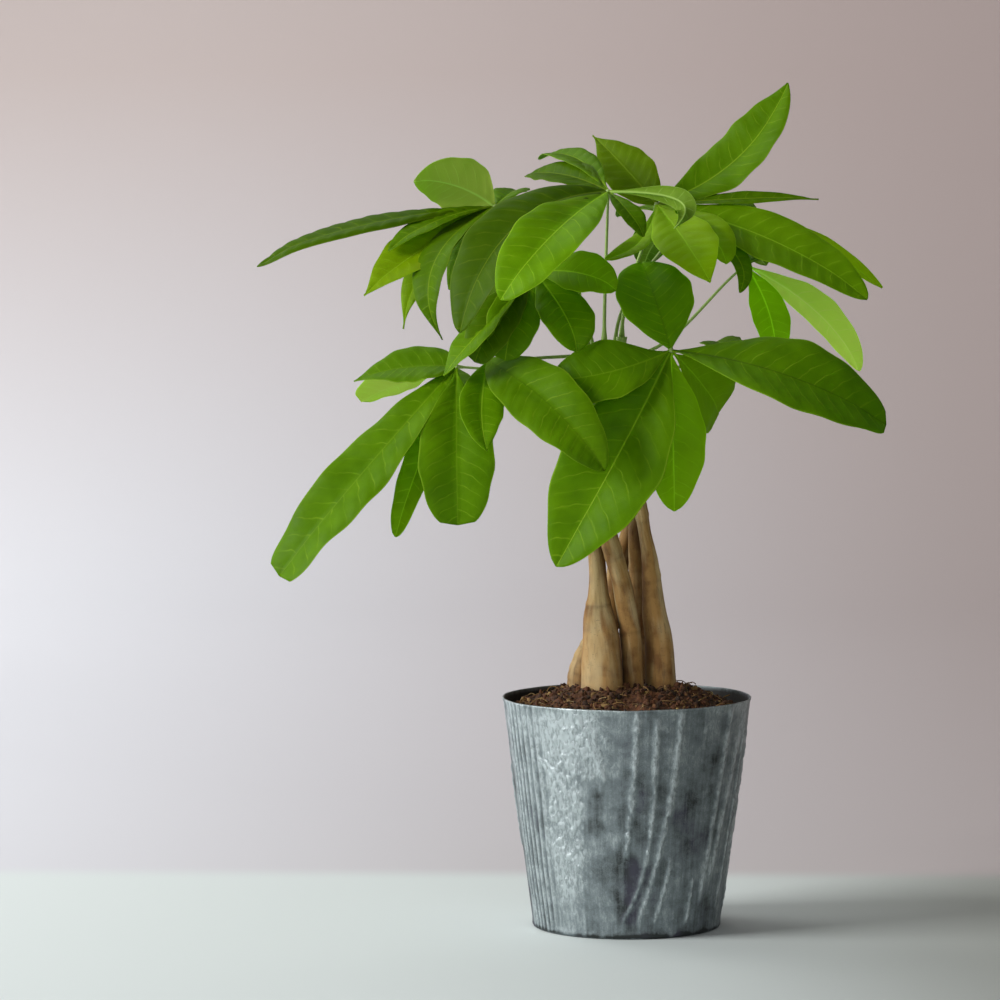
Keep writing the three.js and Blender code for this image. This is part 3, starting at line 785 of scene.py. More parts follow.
@dataclass
class ZincPot:
    """A tapered pot of pressed zinc-coated sheet, its wall embossed like weathered planks.

    Places round the wall are in millimetres from its front, on its mean radius. planks holds
    where each plank starts and how light its patina is.
    """

    height: float = 120.0
    rim_radius: float = 65.0
    foot_radius: float = 49.0
    wall: float = 0.9
    floor: float = 1.6
    foot_round: float = 1.2
    foot_ring: float = 5.0
    hollow: float = 0.8
    segments: int = 520
    wall_rows: int = 150
    mean_radius: float = 57.0
    girth: float = 358.0
    emboss: float = 0.95
    reed_spacing: float = 4.3
    back_seams: int = 26
    back_start: float = 76.0
    back_reach: float = 206.0
    seed: int = 12
    planks: tuple[tuple[float, float], ...] = (
        (-179, 0.1), (-146, 0.45), (-112, -0.1), (-78, 0.5), (-26, 0.3), (-13, 0.2), (-1, 0.0),
        (21, 0.16), (31, 0.0), (39, 0.1), (56, 0.24), (96, 0.3), (128, -0.2), (158, 0.15),
    )
    seams: tuple[Seam, ...] = (
        Seam((-27, 119), (-11, 84), 0.7, 1.5), Seam((-48, 94), (-33, 66), 0.8),
        Seam((-44, 92), (-30, 72), 0.8), Seam((5, 118), (0, 44), 2.0, 1.5),
        Seam((14.5, 114), (-1.6, 10), 4.0, 1.3), Seam((26, 117), (7.5, 10), 2.0, 1.6),
        Seam((25, 42), (17, 10), 1.3, 1.2), Seam((57, 119), (47, 20), 1.2, 1.9),
        Seam((72, 112), (54, 30), 0.8, 2.0), Seam((40, 30), (38, 8), 1.0, 1.2),
    )
    reeds: tuple[Window, ...] = (
        Window(-60, 60, 17, 120), Window(104, 60, 15, 120), Window(-128, 60, 14, 120),
        Window(172, 60, 12, 120),
    )
    crackles: tuple[Window, ...] = (
        Window(-35, 62, 12, 42), Window(-24, 100, 17, 18), Window(84, 50, 11, 30),
        Window(-98, 74, 12, 30), Window(144, 44, 10, 26),
    )
    stains: tuple[Window, ...] = (Window(0, 28, 8, 24), Window(-16, 66, 5, 14), Window(112, 40, 9, 24))

    def radius_at(self, up: np.ndarray) -> np.ndarray:
        """The plain wall's outer radius at a height."""
        return self.foot_radius + (self.rim_radius - self.foot_radius) * up / self.height

    def all_seams(self) -> list[Seam]:
        """Adds drawn seams for the rest of the wall to those of the front.

        Returns:
            All seams, the front ones first.
        """
        rng = np.random.default_rng(self.seed)
        drawn = []
        for i in range(self.back_seams):
            place = self.back_start + (self.back_reach * i) / self.back_seams + rng.uniform(-2.5, 2.5)
            place = place if place < self.girth / 2 else place - self.girth
            high, low = rng.uniform(80, 118), rng.uniform(8, 45)
            drawn.append(Seam((place, high), (place + rng.uniform(-13, 6), low), rng.uniform(1, 3), 1.1))
        return [*self.seams, *drawn]

    def grain(self, angle: np.ndarray, up: np.ndarray) -> tuple[np.ndarray, np.ndarray]:
        """The pressed grain: upright reeds, sweeping seams and crackled patches.

        Args:
            angle: The angle round the wall from the front, from -pi to pi.
            up: The height.

        Returns:
            The grain's height from 0 to 1, and how light the spot is, about -0.5 to 1: rubbed, patina,
            stains, and lighter towards the top.
        """
        around = angle * self.mean_radius
        place = vectors(np.cos(angle) * self.mean_radius, np.sin(angle) * self.mean_radius, up)
        drift = 1.5 * noise(place / [26, 26, 70], 2, 3) + 0.35 * noise(place / [5, 5, 16], 2, 5)
        moved = around + drift
        crackle = 1 - np.abs(noise(place / [2.6, 2.6, 3.6], 3, 17))
        flakes = smooth(noise(place / [1.9, 1.9, 2.8], 3, 29), -0.35, 0.45) * smooth(crackle, 0.2, 0.75)
        patches, combs, shade = [
            np.maximum.reduce([window.mask(moved, up) for window in windows])
            for windows in (self.crackles, self.reeds, self.stains)
        ]
        combs = combs * (1 - 0.7 * patches)
        reeds = (0.5 + 0.5 * np.cos(2 * np.pi * moved / self.reed_spacing)) ** 1.2
        broken = np.clip(0.75 + 0.5 * noise(place / [1.4, 1.4, 2.2], 2, 11), 0.2, 1)
        ridges = np.maximum.reduce([seam.ridge(moved - 0.6 * drift, up) for seam in self.all_seams()])
        fine = noise(place / [2.2, 2.2, 40], 2, 19)
        height = np.maximum.reduce([
            0.8 * combs * reeds * (0.8 + 0.2 * broken), ridges * broken, 0.5 * patches * flakes,
        ])
        height = np.clip(height + 0.1 * fine + 0.06, 0, 1)
        starts, tones = np.array(self.planks).T
        plank = tones[np.searchsorted(starts, np.clip(moved, -179, 179), side="right") - 1]
        clouds = noise(place / [16, 16, 34], 2, 23)
        rubbed = plank + patches * (0.45 * flakes + 0.12) + 0.65 * ridges * broken + 0.16 * clouds
        # Lighter towards the top of the wall.
        rubbed = rubbed + combs * (0.7 * reeds - 0.48) - 0.4 * shade + 0.32 * smooth(up, 72, 116)
        return height, np.clip(rubbed, -0.7, 1)

    def build(self, finish: Material) -> Object:
        """Turns the outline into a closed shell and presses the grain into its wall.

        Args:
            finish: The zinc.

        Returns:
            The pot.
        """
        wall_up = np.linspace(self.foot_round, self.height, self.wall_rows)
        wall_radius = self.radius_at(wall_up)
        lip = self.rim_radius - self.wall
        inner_up = self.height - (self.height - self.floor) * np.linspace(0, 1, 14) ** 2.2
        inner_radius = self.radius_at(inner_up) - self.wall
        foot = self.foot_radius
        outline = [
            (1.0, self.hollow), (foot - self.foot_ring, self.hollow), (foot - self.foot_ring + 0.8, 0.1),
            (foot - self.foot_round, 0.0), (foot - 0.35, 0.35),
        ]
        start = len(outline)
        outline += list(zip(wall_radius, wall_up))
        finish_row = len(outline)
        outline += [(self.rim_radius - 0.2, self.height + 0.25), (lip + 0.2, self.height + 0.25)]
        outline += list(zip(inner_radius, inner_up)) + [(1.0, self.floor)]
        radius, up = np.array(outline).T
        angle = np.linspace(-np.pi, np.pi, self.segments, endpoint=False)
        turn, rise = np.meshgrid(angle, up)
        reach = np.repeat(radius[:, None], self.segments, axis=1)
        pressed, rubbed = self.grain(turn, rise)
        rows = np.arange(len(outline))[:, None]
        outer = (rows >= start) & (rows < finish_row)
        ends = smooth(rise, self.foot_round, 5) * (1 - smooth(rise, self.height - 2.5, self.height - 0.5))
        reach = reach + outer * self.emboss * (pressed - 0.5) * ends
        dents = vectors(np.cos(turn) * 1.6, np.sin(turn) * 1.6, rise / 60)
        bent = smooth(rise, 30, self.height) * (reach > 20)
        reach = reach + 0.5 * bent * noise(dents, 2, 31)
        level = rise + 0.25 * smooth(rise, 100, self.height) * noise(dents * 1.5, 2, 37)
        points, wrap = [
            vectors(away * np.sin(turn), -away * np.cos(turn), height).reshape(-1, 3)
            for away, height in ((reach, level), (self.mean_radius, rise))
        ]
        # Painted shade: how far inside the wall the point lies, for the dark inner colour.
        inside = np.where(rows >= finish_row + 2, smooth(self.height - rise, 0, 1.5), 0.0)
        edge = outer * smooth(rise, self.height - 0.9, self.height - 0.2)
        edge = edge + ((rows >= finish_row) & (rows < finish_row + 2))
        # Darker over the lowest few millimetres of the outer wall.
        foot_darkening = outer * (1 - smooth(rise + 1.2 * noise(dents * 9, 2, 41), 0.5, 3.0))
        rubbed = np.clip(rubbed * outer + edge * 0.35 - foot_darkening * 1.1, -0.9, 1.0)
        wear_and_shade = vectors(pressed * outer * ends, rubbed, 0.95 * inside).reshape(-1, 3)
        draft = Draft()
        middles = [[0, 0, self.hollow], [0, 0, self.floor]]
        draft.add(np.vstack([points, middles]), tube_faces(len(outline), self.segments), traits={
            "wrap": np.vstack([wrap, np.zeros((2, 3))]), "wear_and_shade": np.vstack([wear_and_shade, np.zeros((2, 3))]),
        })
        return draft.piece("zinc_pot", [finish])


# ---------------- the soil


@dataclass
class PottingMix:
    """The soil: a crumbly mound, with loose crumbs and root fibres scattered on it."""

    wall_radius: float = 62.6
    floor_radius: float = 47.7
    floor: float = 2.0
    wall_height: float = 114.0
    mound_height: float = 125.5
    mound_radius: float = 24.0
    rings: int = 110
    segments: int = 300
    litter_radius: float = 56.5
    crumb_size: float = 1.1
    crumb_lumps_per_m: float = 620.0
    crumb_relief: float = 2.6
    fibre_radius: float = 0.22
    fibre_arc: tuple[Triple, Triple, Triple] = ((-4, 0, 0), (1, 6, 3), (4, 0, 0))
    crumbs_per_cm2: float = 24.0
    fibres_per_cm2: float = 2.0
    seed: int = 7

    LITTER = {"Density": "Float", "Size": "Float", "Seed": "Int"}

    def surface(self, x: np.ndarray, y: np.ndarray) -> np.ndarray:
        """Finds the soil's height, with its lumps.

        Args:
            x: Places across the plant, in mm.
            y: Places front to back, in mm.

        Returns:
            The height at each place, in mm.
        """
        radius = np.hypot(x, y)
        fall = smooth(radius, self.mound_radius, self.wall_radius)
        mound = self.mound_height + (self.wall_height - self.mound_height) * fall
        flat = vectors(x, y, 0.0)
        lumps = 1.3 * noise(flat / 9, 2, 41) + 1.0 * noise(flat / 3.2, 3, 43)
        return mound + lumps * (1 - 0.6 * smooth(radius, self.wall_radius - 4, self.wall_radius))

    def build(self, mix: Material, bits: Material) -> list[Object]:
        """Builds the mound, the crumbs and the fibres.

        Args:
            mix: The finish of the mound and the crumbs.
            bits: The finish of the fibres.

        Returns:
            The three pieces.
        """
        radius = np.linspace(self.wall_radius, 0.4, self.rings)
        angle = np.linspace(0, 2 * np.pi, self.segments, endpoint=False)
        turn, reach = np.meshgrid(angle, radius)
        x, y = reach * np.cos(turn), reach * np.sin(turn)
        top = vectors(x, y, self.surface(x, y)).reshape(-1, 3)
        base = vectors(np.cos(angle), np.sin(angle), 0.0) * self.floor_radius + [0, 0, self.floor]
        peak = self.surface(np.zeros(1), np.zeros(1))[0]
        points = np.vstack([base, top, [[0, 0, self.floor], [0, 0, peak]]])
        mound = Draft()
        mound.add(points, tube_faces(self.rings + 1, self.segments))
        pieces = [mound.piece("potting_mix", [mix])]
        patch = Draft()
        inner = int((radius > self.litter_radius).sum())
        patch.add(top[inner * self.segments:], grid_faces(self.rings - inner, self.segments, True))
        carrier = patch.piece("patch", [mix])
        for name, tree, finish, density in (
            ("soil_crumbs", self.crumb_tree(), mix, self.crumbs_per_cm2),
            ("soil_fibres", self.fibre_tree(), bits, self.fibres_per_cm2),
        ):
            mesh = grown(name, carrier.data.copy(), tree, {
                "Density": density * CM2_PER_M2, "Size": self.crumb_size * MM, "Seed": self.seed,
                "Finish": finish,
            })
            mesh.shade_smooth()
            pieces.append(placed(name, mesh))
        bpy.data.objects.remove(carrier)
        return pieces

    def scatter(self, tree: NodeTree, given: Node, shape: Node, sizes: tuple[float, float],
                stretch: tuple[Triple, Triple], tilt: float) -> Node:
        """Scatters a shape over the surface, turned, stretched and tinted at random.

        Args:
            tree: The geometry tree.
            given: Its input node.
            shape: The node that makes the shape.
            sizes: The smallest and the largest scale.
            stretch: The least and the most that a copy is stretched along its own axes.
            tilt: How far a copy may lean, in radians.

        Returns:
            The Realize Instances node.
        """
        seed = given.outputs["Seed"]
        spots = add(tree, "GeometryNodeDistributePointsOnFaces", inputs={
            "Mesh": given.outputs["Geometry"], "Density": given.outputs["Density"], "Seed": seed,
        })
        lean = (tilt, tilt, math.pi)
        turned, stretched, tint = [
            add(tree, "FunctionNodeRandomValue", {"data_type": "FLOAT_VECTOR"}, {
                "Min": least, "Max": most, "Seed": pattern,
            })
            for least, most, pattern in (
                ([-part for part in lean], lean, seed), (*stretch, 3), ((0.75, 0, 0), (1, 1, 1), 5),
            )
        ]
        drawn = add(tree, "FunctionNodeRandomValue", {"data_type": "FLOAT"}, {"Seed": seed})
        small = add(tree, "Math", {"operation": "POWER"}, [drawn, 2.6])
        scaled = add(tree, "MapRange", inputs=[small, 0.0, 1.0, *sizes])
        size = add(tree, "VectorMath", SCALED, [stretched, scaled])
        copies = add(tree, "GeometryNodeInstanceOnPoints", inputs={
            "Points": spots, "Instance": shape, "Rotation": turned, "Scale": size,
        })
        tinted = add(tree, "GeometryNodeStoreNamedAttribute", {
            "data_type": "FLOAT_VECTOR", "domain": "INSTANCE",
        }, {"Geometry": copies, "Name": "tint", "Value": tint})
        return add(tree, "GeometryNodeRealizeInstances", inputs=[tinted])

    def crumb_tree(self) -> NodeTree:
        """Builds the tree that scatters rough crumbs.

        Returns:
            The tree, with the inputs of LITTER.
        """
        tree, given = blank_geometry("crumbs", self.LITTER)
        ball = add(tree, "GeometryNodeMeshIcoSphere", inputs=[given.outputs["Size"], 2])
        chips = ((0.8, 0.45, 0.35), (1.8, 1.0, 0.8))
        solid = self.scatter(tree, given, ball, (0.4, 1.8), chips, math.pi)
        place = add(tree, "GeometryNodeInputPosition")
        lumps = add(tree, "TexNoise", inputs={
            "Vector": place, "Scale": self.crumb_lumps_per_m, "Detail": 1.0,
        })
        centred = add(tree, "VectorMath", {"operation": "SUBTRACT"}, [
            lumps.outputs["Color"], (0.5, 0.5, 0.55),
        ])
        shift = add(tree, "VectorMath", SCALED, [centred, self.crumb_relief * MM])
        moved = add(tree, "GeometryNodeSetPosition", inputs={"Geometry": solid, "Offset": shift})
        close_geometry(tree, given, moved)
        return tree

    def fibre_tree(self) -> NodeTree:
        """Builds the tree that scatters bent fibres.

        Returns:
            The tree, with the inputs of LITTER.
        """
        tree, given = blank_geometry("fibres", self.LITTER)
        corners = [Vector(corner) * MM for corner in self.fibre_arc]
        arc = add(tree, "GeometryNodeCurveQuadraticBezier", inputs=[7, *corners])
        ring = add(tree, "GeometryNodeCurvePrimitiveCircle", inputs={
            "Resolution": 4, "Radius": self.fibre_radius * MM,
        })
        strand = add(tree, "GeometryNodeCurveToMesh", inputs={
            "Curve": arc, "Profile Curve": ring, "Fill Caps": True,
        })
        solid = self.scatter(tree, given, strand, (0.5, 1.5), ((1, 1, 1), (1, 1, 1)), 0.6)
        close_geometry(tree, given, solid)
        return tree


# ---------------- the trunks and shoots


@dataclass
class Trunk:
    """One woody stem of the braid. Its path holds x, y, z and radius from the root end up."""

    name: str
    path: tuple[tuple[float, float, float, float], ...]
    rings: tuple[float, ...] = ()
    sides: int = 44
    steps: int = 190
    wrap_radius: float = 6.0
    flute: float = 0.05
    flutes: int = 3
    flute_turn: float = 9.0
    shade_reach: float = 4.0
    seed: int = 0

    def centreline(self, count: int) -> np.ndarray:
        """Follows the smooth curve through the path.

        Args:
            count: How many points are wanted.

        Returns:
            The points, at even distances.
        """
        knots = np.array(self.path)[:, :3]
        ends = np.vstack([2 * knots[:1] - knots[1:2], knots, 2 * knots[-1:] - knots[-2:-1]])
        spans = np.maximum(np.linalg.norm(np.diff(ends, axis=0), axis=1), 1e-4) ** 0.5
        share = np.linspace(0, 1, 24, endpoint=False)[:, None]
        parts = []
        for i in range(len(knots) - 1):
            before, start, end, after = ends[i:i + 4]
            first, span, last = spans[i:i + 3]
            straight = end - start
            leave = (start - before) / first - (end - before) / (first + span) + straight / span
            reach = straight / span - (after - start) / (span + last) + (after - end) / last
            leave, reach = leave * span, reach * span
            parts.append(
                start + leave * share + (3 * straight - 2 * leave - reach) * share ** 2
                + (leave + reach - 2 * straight) * share ** 3
            )
        dense = np.vstack([*parts, knots[-1:]])
        travelled = np.concatenate([[0], np.cumsum(np.linalg.norm(np.diff(dense, axis=0), axis=1))])
        wanted = np.linspace(0, travelled[-1], count)
        return vectors(*[np.interp(wanted, travelled, part) for part in dense.T])

    def thickness(self, middle: np.ndarray) -> np.ndarray:
        """Finds the trunk's radius, eased over the path's corners.

        Args:
            middle: Points of the centreline.

        Returns:
            The radius at each point, in mm.
        """
        _, _, heights, radii = np.array(self.path).T
        radius = np.interp(middle[:, 2], heights, radii)
        kernel = np.hanning(15) / np.hanning(15).sum()
        return np.convolve(np.pad(radius, 7, mode="edge"), kernel, "valid")

    def painted_crevice_shade(self, points: np.ndarray, outward: np.ndarray, others: tuple["Trunk", ...]) -> np.ndarray:
        """How far points lie in the cracks between this stem and its neighbours.

        Args:
            points: The skin's points, ring by ring.
            outward: The way that the skin faces at each of them.
            others: The stems of the braid.

        Returns:
            A share of painted shade for each point, 0 in the open and 1 where the stems touch.
        """
        depth = np.zeros(points.shape[:-1])
        for other in others:
            if other is self:
                continue
            middle = other.centreline(self.steps // 2)
            away = middle - points[:, :, None]
            distance = np.linalg.norm(away, axis=-1)
            nearest = (distance - other.thickness(middle)).argmin(axis=-1)[..., None]
            reach = np.take_along_axis(distance, nearest, -1)
            towards = np.take_along_axis(away, nearest[..., None], 2)[:, :, 0] / reach
            gap = reach[..., 0] - other.thickness(middle)[nearest[..., 0]]
            facing = smooth((towards * outward).sum(axis=-1), -0.2, 0.9)
            depth = np.maximum(depth, facing * np.exp(-np.clip(gap, 0, None) / self.shade_reach))
        return depth

    def build(self, finish: Material, others: tuple["Trunk", ...]) -> Object:
        """Builds the stem with its flutes, long cracks, leaf scars and root flare.

        Args:
            finish: The bark.
            others: The stems of the braid, whose nearness paints shade into the cracks between them.

        Returns:
            The trunk.
        """
        middle = self.centreline(self.steps + 1)
        tangent = unit(np.gradient(middle, axis=0))
        side = unit(np.cross(tangent, [0.0, 1.0, 0.0]))
        front = np.cross(side, tangent)
        radius = self.thickness(middle)
        angle = np.linspace(0, 2 * np.pi, self.sides, endpoint=False)
        along = np.linspace(0, 1, self.steps + 1)[:, None]
        travelled = along * np.linalg.norm(np.diff(middle, axis=0), axis=1).sum()
        bark = self.wrap_radius
        wrap = vectors(bark * np.cos(angle), bark * np.sin(angle), travelled) + 40.0 * self.seed
        up = middle[:, 2:3]
        swell = 1 + self.flute * np.sin(self.flutes * angle + self.flute_turn * along)
        cracks = noise(wrap / [2.2, 2.2, 22], 3, 51)
        lumps = noise(wrap / [7, 7, 18], 2, 53)
        reach = radius[:, None] * swell * (1 + 0.05 * lumps) + 0.16 * cracks
        dark = np.zeros_like(reach)
        for ring in self.rings:
            tilt = ring + 1.2 * np.sin(angle + ring)
            near = np.exp(-(((up - tilt) / 0.9) ** 2))
            reach = reach + 0.3 * np.exp(-(((up - tilt - 1.6) / 1.8) ** 2)) - 0.15 * near
            dark = dark + 0.4 * near * (0.5 + 0.5 * noise(wrap / 3, 1, 57))
        toes = 0.6 + 0.4 * np.sin(5 * angle + self.seed)
        reach = reach + 1.3 * np.exp(-np.clip(up - 122, 0, None) / 3.5) * toes
        dark = dark + 0.55 * np.exp(-np.clip(up - 123, 0, None) / 2.5)
        outward = np.cos(angle)[:, None] * side[:, None] + np.sin(angle)[:, None] * front[:, None]
        points = middle[:, None] + reach[..., None] * outward
        # Painted shade in the cracks where the stems lie close together.
        dark = dark + 0.85 * self.painted_crevice_shade(points, outward, others)
        points = np.vstack([points.reshape(-1, 3), middle[:1], middle[-1:]])
        wear_and_shade = vectors(cracks, np.clip(dark, 0, 0.9), 0.7 * smooth(up, 229, 272))
        draft = Draft()
        draft.add(points, tube_faces(self.steps + 1, self.sides), traits={
            name: np.vstack([trait.reshape(-1, 3), trait[0, :1], trait[-1, :1]])
            for name, trait in (("wrap", wrap), ("wear_and_shade", wear_and_shade))
        })
        return draft.piece(self.name, [finish])


@dataclass(frozen=True)
class Stalk:
    """A soft round stem along a path, a little swollen at both ends."""

    path: np.ndarray
    foot_radius: float
    tip_radius: float
    swelling: float

    @staticmethod
    def tree() -> NodeTree:
        """Builds the geometry tree that sweeps a round section along a chain of edges.

        Returns:
            The tree, with named inputs for the stalk's sizes.
        """
        tree, given = blank_geometry("stalk", {
            "Foot Radius": "Float", "Tip Radius": "Float", "Swelling": "Float", "Sides": "Int",
        })
        curve = add(tree, "GeometryNodeMeshToCurve", inputs=[given.outputs["Geometry"]])
        share = add(tree, "GeometryNodeSplineParameter").outputs["Factor"]
        ends = [given.outputs["Foot Radius"], given.outputs["Tip Radius"]]
        plain = add(tree, "MapRange", inputs=[share, 0.0, 1.0, *ends])
        foot = add(tree, "MapRange", EASED, [share, 0.1, 0.0])
        tip = add(tree, "MapRange", EASED, [share, 0.92, 1.0])
        both = add(tree, "Math", {"operation": "ADD"}, [foot, tip])
        radius = add(tree, "Math", TIMES_PLUS, [both, given.outputs["Swelling"], plain])
        ring = add(tree, "GeometryNodeCurvePrimitiveCircle", inputs={
            "Resolution": given.outputs["Sides"], "Radius": 1.0,
        })
        tube = add(tree, "GeometryNodeCurveToMesh", inputs=[curve, ring, radius, True])
        close_geometry(tree, given, add(tree, "GeometryNodeRealizeInstances", inputs=[tube]))
        return tree

    def add_to(self, draft: Draft, tree: NodeTree, finish: Material, place: int) -> None:
        """Sweeps the stalk and adds it to a piece.

        Args:
            draft: The piece's draft.
            tree: The tree from tree().
            finish: The stalk's material.
            place: The material's place among the piece's.
        """
        chain = bpy.data.meshes.new("chain")
        chain.from_pydata(self.path * MM, [(i, i + 1) for i in range(len(self.path) - 1)], [])
        mesh = grown("stalk", chain, tree, {
            "Foot Radius": self.foot_radius * MM, "Tip Radius": self.tip_radius * MM,
            "Swelling": self.swelling * MM, "Sides": 14, "Finish": finish,
        })
        points = np.array([vertex.co for vertex in mesh.vertices]) / MM
        draft.add(points, [list(face.vertices) for face in mesh.polygons], place)
        bpy.data.meshes.remove(mesh)


@dataclass(frozen=True)
class Shoot:
    """The soft green growth on top of a trunk."""

    name: str
    trunk: Trunk
    top: Triple
    foot_radius: float = 3.1
    tip_radius: float = 2.4
    gap: float = 0.3

    def corners(self) -> list[np.ndarray]:
        """Places the Bezier corners of its middle line, upright at both ends.

        Returns:
            The four corners, from the trunk up.
        """
        foot = np.array(self.trunk.path[-1][:3]) + [0, 0, self.gap]
        top = np.array(self.top, float)
        third = np.array([0, 0, (top[2] - foot[2]) / 3])
        return [foot, foot + third, top - third, top]

    def build(self, tree: NodeTree, finish: Material) -> Object:
        """Builds the shoot, its foot let into the trunk's top so that no gap shows.

        Args:
            tree: The stalk tree.
            finish: The green stem.

        Returns:
            The shoot.
        """
        corners = self.corners()
        path = bezier(corners, np.linspace(0, 1, 16))
        path = np.vstack([corners[0] - [0, 0, 1.2], path, corners[-1] + [0, 0, 0.8]])
        draft = Draft()
        Stalk(path, self.foot_radius, self.tip_radius, 0.5).add_to(draft, tree, finish, 0)
        return draft.piece(self.name, [finish])


# ---------------- the leaves


@dataclass(frozen=True)
class Leaflet:
    """One leaflet, from the leaf's hub to its tip.

    bow is how far its middle stands off the straight line to the tip, and face is the way its
    upper side looks. peak, taper and point shape its outline. wave is how far the margin
    ripples, curl how far the tip hangs, arch how far the margins roll down.
    tone_and_painted_light makes it lighter or darker, partly for its own colour and partly as
    painted light and shade, young makes it yellower, and rib is how pale its rib is, below zero
    for painted shade in the hollow of the rib.
    """

    tip: Triple
    width: float
    bow: Triple
    face: Triple
    peak: float = 1.15
    taper: float = 1.1
    point: float = 0.6
    wave: float = 0.9
    curl: float = 1.5
    arch: float = 0.1
    tone_and_painted_light: float = 0.0
    young: float = 0.0
    rib: float = 0.8

    FOLD = 0.27
    BASE_WIDTH = 1.7
    TIP_WIDTH = 0.9
    THICKNESS = 0.42
    QUILT = 0.65
    COLUMNS = 20
    STATION = 1.7
    STAGGER = 0.42

    def half_width(self, along: np.ndarray) -> np.ndarray:
        """Draws the blade's outline.

        Args:
            along: Shares of the length, from 0 at the base to 1 at the tip.

        Returns:
            Half the width at each share, in mm.
        """
        swell = np.maximum(np.sin(np.pi * along ** self.peak), 0)
        outline = swell ** (self.taper + (self.point - self.taper) * along)
        least = (self.BASE_WIDTH + (self.TIP_WIDTH - self.BASE_WIDTH) * along) / 2
        return np.maximum(self.width / 2 * outline, least)

    def add_to(self, draft: Draft, hub: np.ndarray, seed: int) -> None:
        """Adds the blade to its leaf.

        Args:
            draft: The leaf's draft.
            hub: Where the leaflets spring from.
            seed: Picks the ripple of this leaflet's margins.
        """
        tip = np.array(self.tip, float)
        corners = [hub, (hub + tip) / 2 + 2 * np.array(self.bow, float), tip]
        rows = max(24, int(np.linalg.norm(tip - hub) / self.STATION))
        along = np.linspace(0, 1, rows + 1)
        middle = bezier(corners, along)
        tangent = unit(bezier([corners[1] - corners[0], corners[2] - corners[1]], along))
        across = unit(np.cross(tangent, np.array(self.face)))
        up = unit(np.cross(across, tangent))
        length = np.linalg.norm(np.diff(middle, axis=0), axis=1).sum()
        travelled = along[:, None] * length
        half = self.half_width(along)[:, None]
        share = np.sin(np.linspace(-0.5, 0.5, self.COLUMNS + 1) * np.pi)[None]
        place = share * half
        spacing = 3 + 0.05 * length
        count = (travelled - 0.5 * np.abs(place) - 0.014 * place ** 2) / spacing
        veins = count + np.where(share > 0, self.STAGGER, 0.0)
        inner = smooth(np.abs(share), 0, 0.3) * (1 - smooth(np.abs(share), 0.75, 1))
        body = smooth(along, 0, 0.12)[:, None]
        ripple = np.sin(2 * np.pi * (1.7 * along[:, None] + seed * 0.37) + np.where(share > 0, 1.9, 0))
        finer = np.sin(2 * np.pi * (5.3 * along[:, None] + seed * 0.61) + np.where(share > 0, 0.8, 0))
        height = (
            self.FOLD * half * (np.sqrt(share ** 2 + 0.01) - 0.1) - self.arch * half * share ** 4
            + self.wave * body * share ** 2 * (ripple + 0.35 * finer) * (half / 16)
            + self.QUILT * inner * body * (np.abs(np.sin(np.pi * veins)) ** 0.6 - 0.5)
            - self.curl * (smooth(along, 0.72, 1.0) ** 2)[:, None]
        )
        rib = np.exp(-((place / (1.0 - 0.55 * along[:, None])) ** 2))
        root = (1 - smooth(along, 0, 0.08))[:, None]
        thick = self.THICKNESS * (1 - 0.45 * share ** 2) * (1 + 1.2 * root)
        above = height + thick / 2 - 0.22 * rib * body
        below = height - thick / 2 - (0.55 - 0.35 * along[:, None]) * rib
        trembled = place * (1 + 0.02 * np.sin(9 * np.pi * along[:, None] + seed))
        skins = [
            middle[:, None] + trembled[..., None] * across[:, None] + lift[..., None] * up[:, None]
            for lift in (above, below)
        ]
        self.sew(draft, skins, np.broadcast_to(count, place.shape), place, along, share[0], seed)

    def sew(self, draft: Draft, skins: list[np.ndarray], count: np.ndarray, place: np.ndarray,
            along: np.ndarray, share: np.ndarray, seed: int) -> None:
        """Joins the upper and lower skins round the margin and adds them with their plan.

        Args:
            draft: The leaf's draft.
            skins: The upper and the lower grid of points.
            count: The side veins' count at each point.
            place: The distance from the rib at each point.
            along: The share of the length of each row.
            share: The share of the half width of each column.
            seed: Moves this leaflet's veins along.
        """
        rows, columns = place.shape
        size = rows * columns
        upper = grid_faces(rows, columns, False)
        lower = [[corner + size for corner in reversed(face)] for face in upper]
        rim = []
        for row in range(rows - 1):
            left, right = row * columns, row * columns + columns - 1
            rim.append([left, left + columns, left + columns + size, left + size])
            rim.append([right + size, right + columns + size, right + columns, right])
        for column in range(columns - 1):
            end = (rows - 1) * columns + column
            rim.append([column + size, column + 1 + size, column + 1, column])
            rim.append([end, end + 1, end + 1 + size, end + size])
        faces = upper + lower + rim
        skin_of = ((Skin.UPPER, upper), (Skin.UNDER, lower), (Skin.UPPER, rim))
        finishes = [int(skin) for skin, part in skin_of for _ in part]
        flat_count, flat_place = count.ravel(), place.ravel()
        half = columns // 2
        plans = []
        for face in faces:
            right = min(corner % size % columns for corner in face) >= half
            shift = (self.STAGGER if right else 0.0) + 0.13 * seed
            plans += [(flat_count[c % size] + shift, flat_place[c % size]) for c in face]
        # The third value is how light the leaflet is: its own colour, and painted light and shade.
        blade = vectors(along[:, None], np.abs(share), self.tone_and_painted_light).reshape(-1, 3)
        growth = np.tile([self.young, self.rib, 0.0], (size, 1))
        draft.add(
            np.vstack([skin.reshape(-1, 3) for skin in skins]), faces, finishes, plans,
            {"blade": np.vstack([blade, blade]), "growth": np.vstack([growth, growth])},
        )


